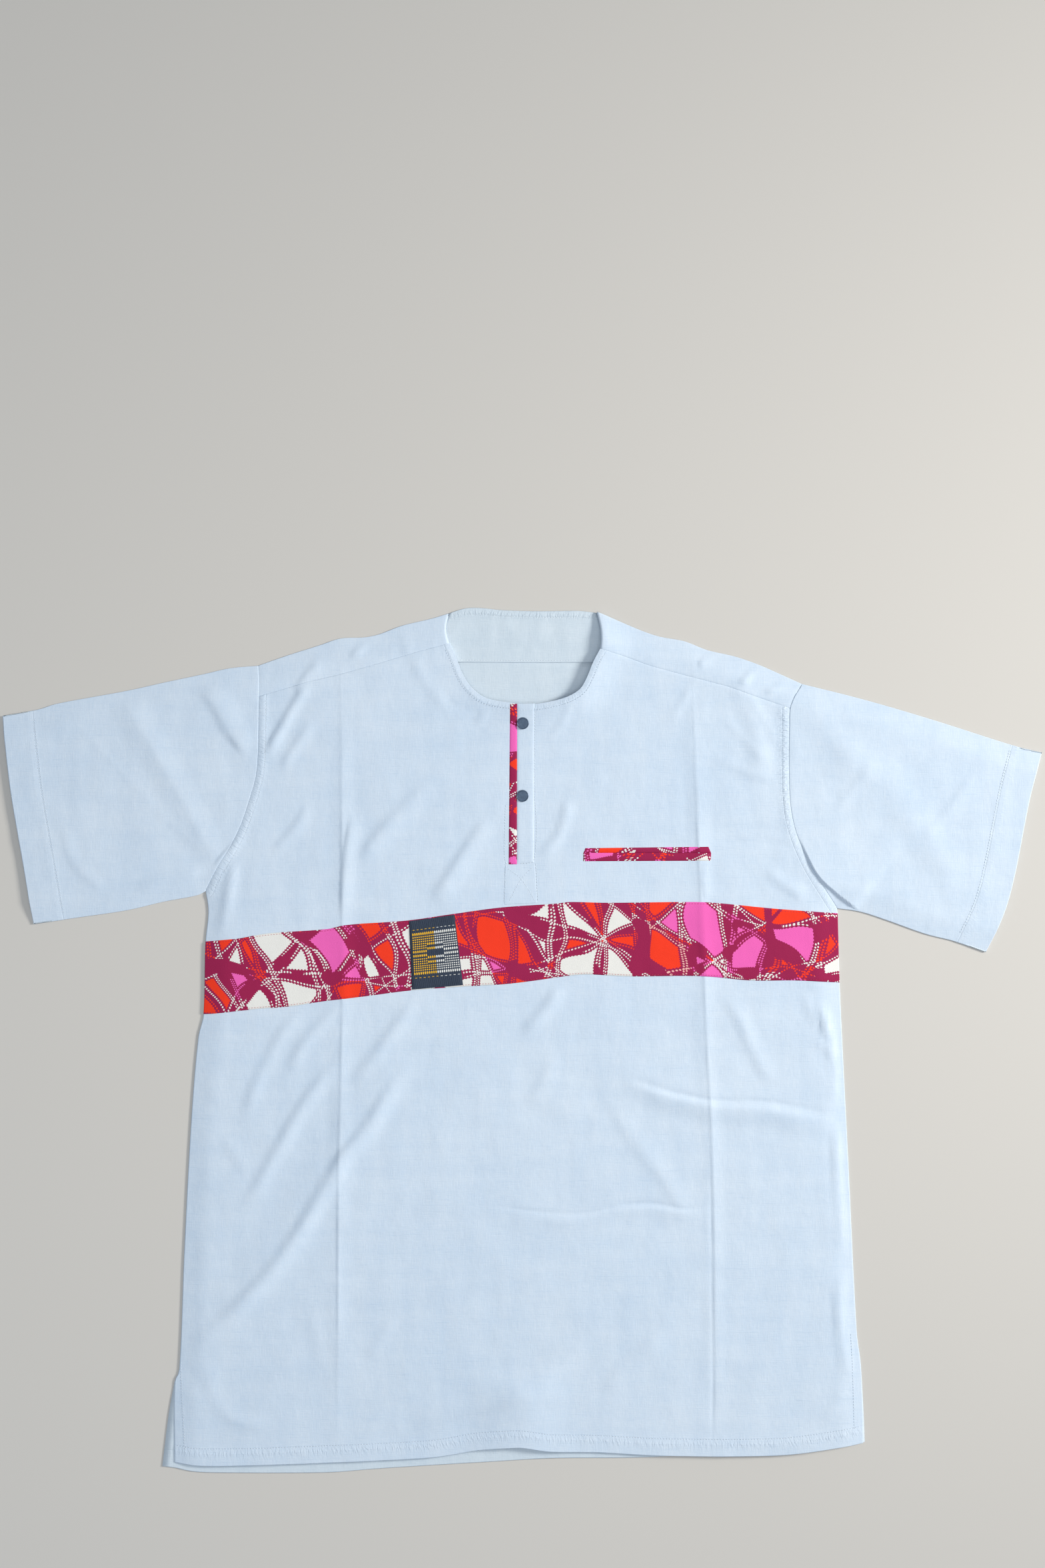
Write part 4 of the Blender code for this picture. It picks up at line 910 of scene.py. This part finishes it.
def wax_print(name, shift, turn):
    """Printed cotton: shards of white, orange and pink between bowed maroon stems with dotted rims."""
    finish, shader, place = new_finish(name, 0.8)
    shader.inputs["Specular IOR Level"].default_value = 0.3
    flat = place.mapped((1000, 1000, 0), turn, shift)
    bend = flat.noise(0.013, 1, 0.5, 1).mapped((1, 1, 0), 0, (-0.5, -0.5, 0))
    bowed = bend.node("ShaderNodeVectorMath", {"operation": "MULTIPLY_ADD"},
                      {0: bend, 1: (34, 34, 0), 2: flat})
    rims, outers, inners, marks = [], [], [], []
    for number, (centre, gap, width) in enumerate(STEMS):
        aside = bowed.mapped((1, 1, 0), 0, (-centre[0], -centre[1], 0))
        reach = aside.node("ShaderNodeVectorMath", {"operation": "LENGTH"}, {0: aside}, 1)
        stem = (reach / gap + 0.5).floor()
        swelling = (flat.noise(0.024, 0) - 0.09) * width
        away = (reach - stem * gap).abs() - swelling
        turned = aside.part(1).angle_from(aside.part(0))
        step = turned * stem * (gap / DOT_PITCH)
        beside = (step.fraction() - 0.5) * DOT_PITCH
        between = ((step + 0.5).fraction() - 0.5) * DOT_PITCH
        near_row, far_row, scallops = away + 1.3, away + 3.7, away - 0.6
        rims.append(away)
        outers.append(near_row * near_row + beside * beside)
        if number == 0:
            outers.append(far_row * far_row + between * between)
        inners.append(scallops * scallops + between * between)
        marks.append((reach / gap).floor() * (7.31 + 3.7 * number))
    rim, outer, inner = (reduce(Wire.least, wires) for wires in (rims, outers, inners))
    mark = reduce(Wire.__add__, marks)
    pick = mark.node("ShaderNodeTexWhiteNoise", {"noise_dimensions": "1D"}, {"W": mark})
    other = mark.node("ShaderNodeTexWhiteNoise", {"noise_dimensions": "1D"}, {"W": mark + 0.37})
    colour = pick.node("ShaderNodeValToRGB", {"stops": PRINT_SHARES}, {0: pick})
    small, large = DOT_RADIUS ** 2 * 0.75, DOT_RADIUS ** 2 * 1.3
    notches, dots = 1 - inner.rise(small * 0.8, large * 0.8), 1 - outer.rise(small, large)
    ground = (rim.rise(0.5, 0.8) * (1 - notches)).blend(MAROON, colour)
    row_colour = other.rise(0.45, 0.46).blend(WHITE, colour)
    dotted = flat.noise(0.035, 0).rise(0.41, 0.42)
    printed = (dots * dotted * (1 - rim.rise(0.0, 0.2))).blend(ground, row_colour)
    weave = place.grain(1500, 1500)
    relief = weave * 0.35 + place.noise(45.0, 3, 0.6) * 0.5
    finish_with(shader, (weave * 0.14).blend(printed, rgb(90, 20, 40)), relief, 0.0008)
    return finish


def band_strip(node, first, last, finish):
    """One strip, from the front's own lines between two places on the band."""
    places = close_places(first, last, STRIP_GRID, ((first, 2.5, 0.7), (last, 2.5, 0.7)))
    low, high = on_level(BAND_BOTTOM, places, LOW_KNOTS), on_level(BAND_TOP, places, HIGH_KNOTS)
    shares = rows_for(STRIP_DEPTH, STRIP_GRID, start=(0.5, 1.4), end=(0.5, 1.4))
    left = side_left if first == columns[0] else np.array([low[0], high[0]])
    right = side_right if last == columns[-1] else np.array([low[-1], high[-1]])
    plan = rows_between(low, high, left, right, shares)
    x, y = plan[..., 0], plan[..., 1]
    from_edge = np.minimum(shares, 1 - shares)[:, None] * STRIP_DEPTH
    lift = mix(BAND_EDGE, BAND_LIFT, smooth(from_edge / 1.2))
    strip = sew(node, np.dstack([x, y, top_height(x, y) + lift]), (finish,), slot="wax_print")


band_strip("band_left_strip", columns[0], STRIP_JOIN, wax_print("wax print left", (0, 0, 0), 0.0))
band_strip("band_right_strip", STRIP_JOIN + 0.3, columns[-1],
           wax_print("wax print right", (160, 70, 0), 0.35))
stitch("band_stitches", [
    offset_line(smooth_line(BAND_BOTTOM), 1.6), offset_line(smooth_line(BAND_TOP), -1.6),
], BAND_LIFT, RED_THREAD)

# The woven patch, a short length of hand-loomed strip with a warp-ribbed navy ground and a chart
# of yellow and white weft floats, sewn over the join of the band.
PATCH_CORNERS = line((-109, 50.8), (-58.5, 55.2), (-112, 118.4), (-66.9, 124.8))
PATCH_WIDE, PATCH_TALL, PATCH_TURN = 48, 70, 0.09
PATCH_LIFT, PATCH_EDGE, PATCH_SINK, PATCH_THICK = 1.5, 0.35, 0.2, 0.9
RIB = 1.0


def between_corners(corners, across, up):
    """The spots at these shares across and up between two low corners and two high ones."""
    low_left, low_right, high_left, high_right = corners
    across, up = across[..., None], up[..., None]
    return mix(mix(low_left, low_right, across), mix(high_left, high_right, across), up)


def four_cornered(corners, width, length, spacing_across, spacing_up, close):
    """A grid of spots between four corners, and how far each lies from the piece's edges."""
    across, up = np.meshgrid(rows_for(width, spacing_across, start=close, end=close),
                             rows_for(length, spacing_up, start=close, end=close))
    plan = between_corners(corners, across, up)
    edge = np.minimum(np.minimum(across, 1 - across) * width, np.minimum(up, 1 - up) * length)
    return plan[..., 0], plan[..., 1], edge


def ribbed_navy():
    """A warp-faced weave, whose ribs run up the strip."""
    finish, shader, place = new_finish("woven navy", 0.85)
    rib = (place.mapped((1, 1, 1), PATCH_TURN).part(0) * (2000 * math.pi / RIB)).sin() * 0.5 + 0.5
    fibre = place.grain(900, 300, 3)
    tone = (rib * 0.45 + fibre * 0.55).blend(rgb(16, 24, 38), rgb(62, 78, 102))
    finish_with(shader, tone, rib * 0.7 + fibre * 0.3, 0.0005)
    return finish


x, y, edge = four_cornered(PATCH_CORNERS, PATCH_WIDE, PATCH_TALL, 2.0, 2.0, (0.5,))
z = top_height(x, y) + BAND_LIFT + PATCH_LIFT * mix(PATCH_EDGE, 1, smooth(edge / 1.5)) - PATCH_SINK
woven = sew("woven_patch", np.dstack([x, y, z]), (ribbed_navy(),), thick=PATCH_THICK, slot="woven_strip")

FLOAT_COLUMNS, YELLOW_COLUMNS = 22, 11
FLOAT_FIRST, FLOAT_LAST = 0.07, 0.965
FLOAT_WIDTH, FLOAT_HIGH = 0.4, 0.28
MIDDLE = range(7, 15)
LONG, SHORT = 0.0235, 0.0105
LONG_ROWS, MIDDLE_ROWS, SIDE_ROWS = (0.795, 0.226), (0.640, 0.574, 0.446, 0.380), (0.540, 0.481)
SHORT_ROWS = (0.749, 0.715, 0.682, 0.649, 0.617, 0.586, 0.431, 0.397, 0.364, 0.331, 0.301, 0.270)
BAR_ROWS, BAR_WIDTH, BAR_HALF = (0.859, 0.162), 0.62, 0.35


def weft(name, colour, shade):
    finish, shader, place = new_finish(name, 0.7)
    strand = place.grain(2500, 250)
    finish_with(shader, strand.blend(shade, colour), strand, 0.00008)
    return finish


def charted_floats():
    """Each float as its column, its place up the strip and half its length, both as shares."""
    for column in range(FLOAT_COLUMNS):
        middle = column in MIDDLE
        for up in LONG_ROWS:
            yield column, up, LONG
        for up in MIDDLE_ROWS if middle else SIDE_ROWS:
            yield column, up, LONG * 0.9
        for up in SHORT_ROWS:
            if not (middle and 0.35 < up < 0.66):
                yield column, up, SHORT


pitch = (FLOAT_LAST - FLOAT_FIRST) / (FLOAT_COLUMNS - 1)
floats = [(FLOAT_FIRST + column * pitch, up, pitch * FLOAT_WIDTH * PATCH_WIDE, half * PATCH_TALL,
           column >= YELLOW_COLUMNS) for column, up, half in charted_floats()]
floats += [(FLOAT_FIRST + (column + 0.5) * pitch, up, pitch * BAR_WIDTH * PATCH_WIDE, BAR_HALF,
            column >= YELLOW_COLUMNS) for column in range(0, FLOAT_COLUMNS - 1, 2) for up in BAR_ROWS]
spots = between_corners(PATCH_CORNERS, *(np.array([row[k] for row in floats]) for k in (0, 1)))
heights = top_height(*spots.T) + BAND_LIFT + PATCH_LIFT - PATCH_SINK
bm = bmesh.new()
for (_, _, half_width, half_length, white), at, height in zip(floats, spots, heights):
    made = bmesh.ops.create_uvsphere(bm, u_segments=8, v_segments=5, radius=1, matrix=(
        Matrix.Scale(MM, 4) @ Matrix.Translation((*at, height)) @ Matrix.Rotation(PATCH_TURN, 4, "Z")
        @ Matrix.Diagonal((half_width, half_length, FLOAT_HIGH, 1))))
    for face in {face for vert in made["verts"] for face in vert.link_faces}:
        face.material_index = int(white)
piece_from(bm, "woven_patch_floats", (weft("yellow weft", rgb(246, 196, 42), rgb(214, 158, 20)),
                                      weft("white weft", rgb(240, 241, 238), rgb(206, 208, 206))))

# The placket, a facing of chambray turned to the outside, laps over a printed binding that edges
# the slit from the neck. A crossed box of stitches below it keeps the slit from tearing.
PLACKET_LIFT, BINDING_LIFT, BOX_LIFT = 0.4, 0.45, 0.06


def flat_piece(node, corners, lift, finishes, slot="chambray"):
    """A piece laid on the front between four corners."""
    corners = line(*corners)
    width, length = math.dist(corners[0], corners[1]), math.dist(corners[0], corners[2])
    x, y, edge = four_cornered(corners, width, length, 2.2, 2.6, (0.5, 1.2))
    z = top_height(x, y) + lift * mix(0.1, 1, smooth(edge / 1.8))
    piece = sew(node, np.dstack([x, y, z]), finishes, slot=slot)


flat_piece("placket", ((-5.4, 175.2), (11.6, 176.2), (-5.2, 333.4), (12.0, 333.8)),
           PLACKET_LIFT, (OUTSIDE, SHADED_INSIDE))
flat_piece("placket_binding", ((-13.4, 174.6), (-5.3, 174.6), (-12.0, 333.8), (-4.9, 333.4)),
           BINDING_LIFT, (wax_print("wax print binding", (40, -120, 0), 1.2),),
           "wax_print")
flat_piece("placket_box", ((-17.8, 134.6), (14.6, 136.4), (-17.2, 174.6), (12.6, 174.8)),
           BOX_LIFT, (OUTSIDE, SHADED_INSIDE))
stitch("placket_stitches", [smooth_line(line(*spots)) for spots in (
    ((12.9, 329.8), (12.5, 248), (14.2, 211.5), (12.9, 184.3), (11.6, 178.5), (7.9, 176.0), (-4.9, 175.5)),
    ((-16.4, 234), (-17.5, 184.5), (-15.8, 174.7)),
    ((-16.2, 173.9), (-18, 137)),
    ((13.5, 175.5), (15.5, 138.4)),
    ((-14.5, 170.7), (-1, 160), (12.7, 138.6)),
    ((10.2, 171.5), (-1, 160), (-12.9, 138)),
)], 0.1, PALE_THREAD)

# The welt pocket, two narrow lips of the printed cotton that meet in the slit. Their ends are
# sewn square, and the upper lip is cut a little shorter along its top.
LOWER_LIFT, UPPER_LIFT = 0.75, 0.6
flat_piece("welt_lower_lip", ((60.4, 177.6), (186.6, 178.2), (60.4, 186.0), (187.0, 186.0)),
           LOWER_LIFT, (wax_print("wax print lower lip", (300, 20, 0), 0.2),),
           "wax_print")
flat_piece("welt_upper_lip", ((60.6, 186.0), (186.8, 186.0), (62.5, 190.6), (184.2, 192.0)),
           UPPER_LIFT, (wax_print("wax print upper lip", (-60, 200, 0), 0.9),),
           "wax_print")

# The two ring snaps that close the placket, pressed from sheet metal and enamelled blue-grey. Only
# their caps show. Each is one turned outline, of distances from its middle and heights in mm.
SNAPS = {"snap_upper": (0.6, 314.1), "snap_lower": (0.3, 242.3)}
SNAP_OUTLINE = ((0, 0.78), (1.6, 0.82), (3.0, 0.94), (4.2, 1.06), (4.6, 0.98), (4.85, 0.84), (5.05, 0.95),
                (5.35, 1.14), (5.7, 1.08), (5.9, 0.8), (5.9, 0.3), (5.6, 0.0), (0, 0.0))
SNAP_STEPS = 48
snap_finish, snap_shader, place = new_finish("blue-grey enamel", 0.32)
snap_shader.inputs["Metallic"].default_value = 0.55
wear = place.noise(500.0, 3)
finish_with(snap_shader, wear.blend(rgb(62, 78, 98), rgb(92, 110, 132)), wear, 0.00005)
for name, (x, y) in SNAPS.items():
    bm = bmesh.new()
    verts = [bm.verts.new((r * MM, 0, z * MM)) for r, z in SNAP_OUTLINE]
    edges = [bm.edges.new(pair) for pair in zip(verts, verts[1:])]
    bmesh.ops.spin(bm, geom=verts + edges, cent=(0, 0, 0), axis=(0, 0, 1), angle=math.tau,
                   steps=SNAP_STEPS, use_merge=True)
    bmesh.ops.remove_doubles(bm, verts=bm.verts, dist=0.00001)
    bmesh.ops.recalc_face_normals(bm, faces=bm.faces)
    height = float(top_height(np.array([x]), np.array([y]))[0]) + PLACKET_LIFT
    bmesh.ops.translate(bm, verts=bm.verts, vec=Vector((x, y, height)) * MM)
    piece_from(bm, name + "_cap", (snap_finish,), name)

low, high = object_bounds()
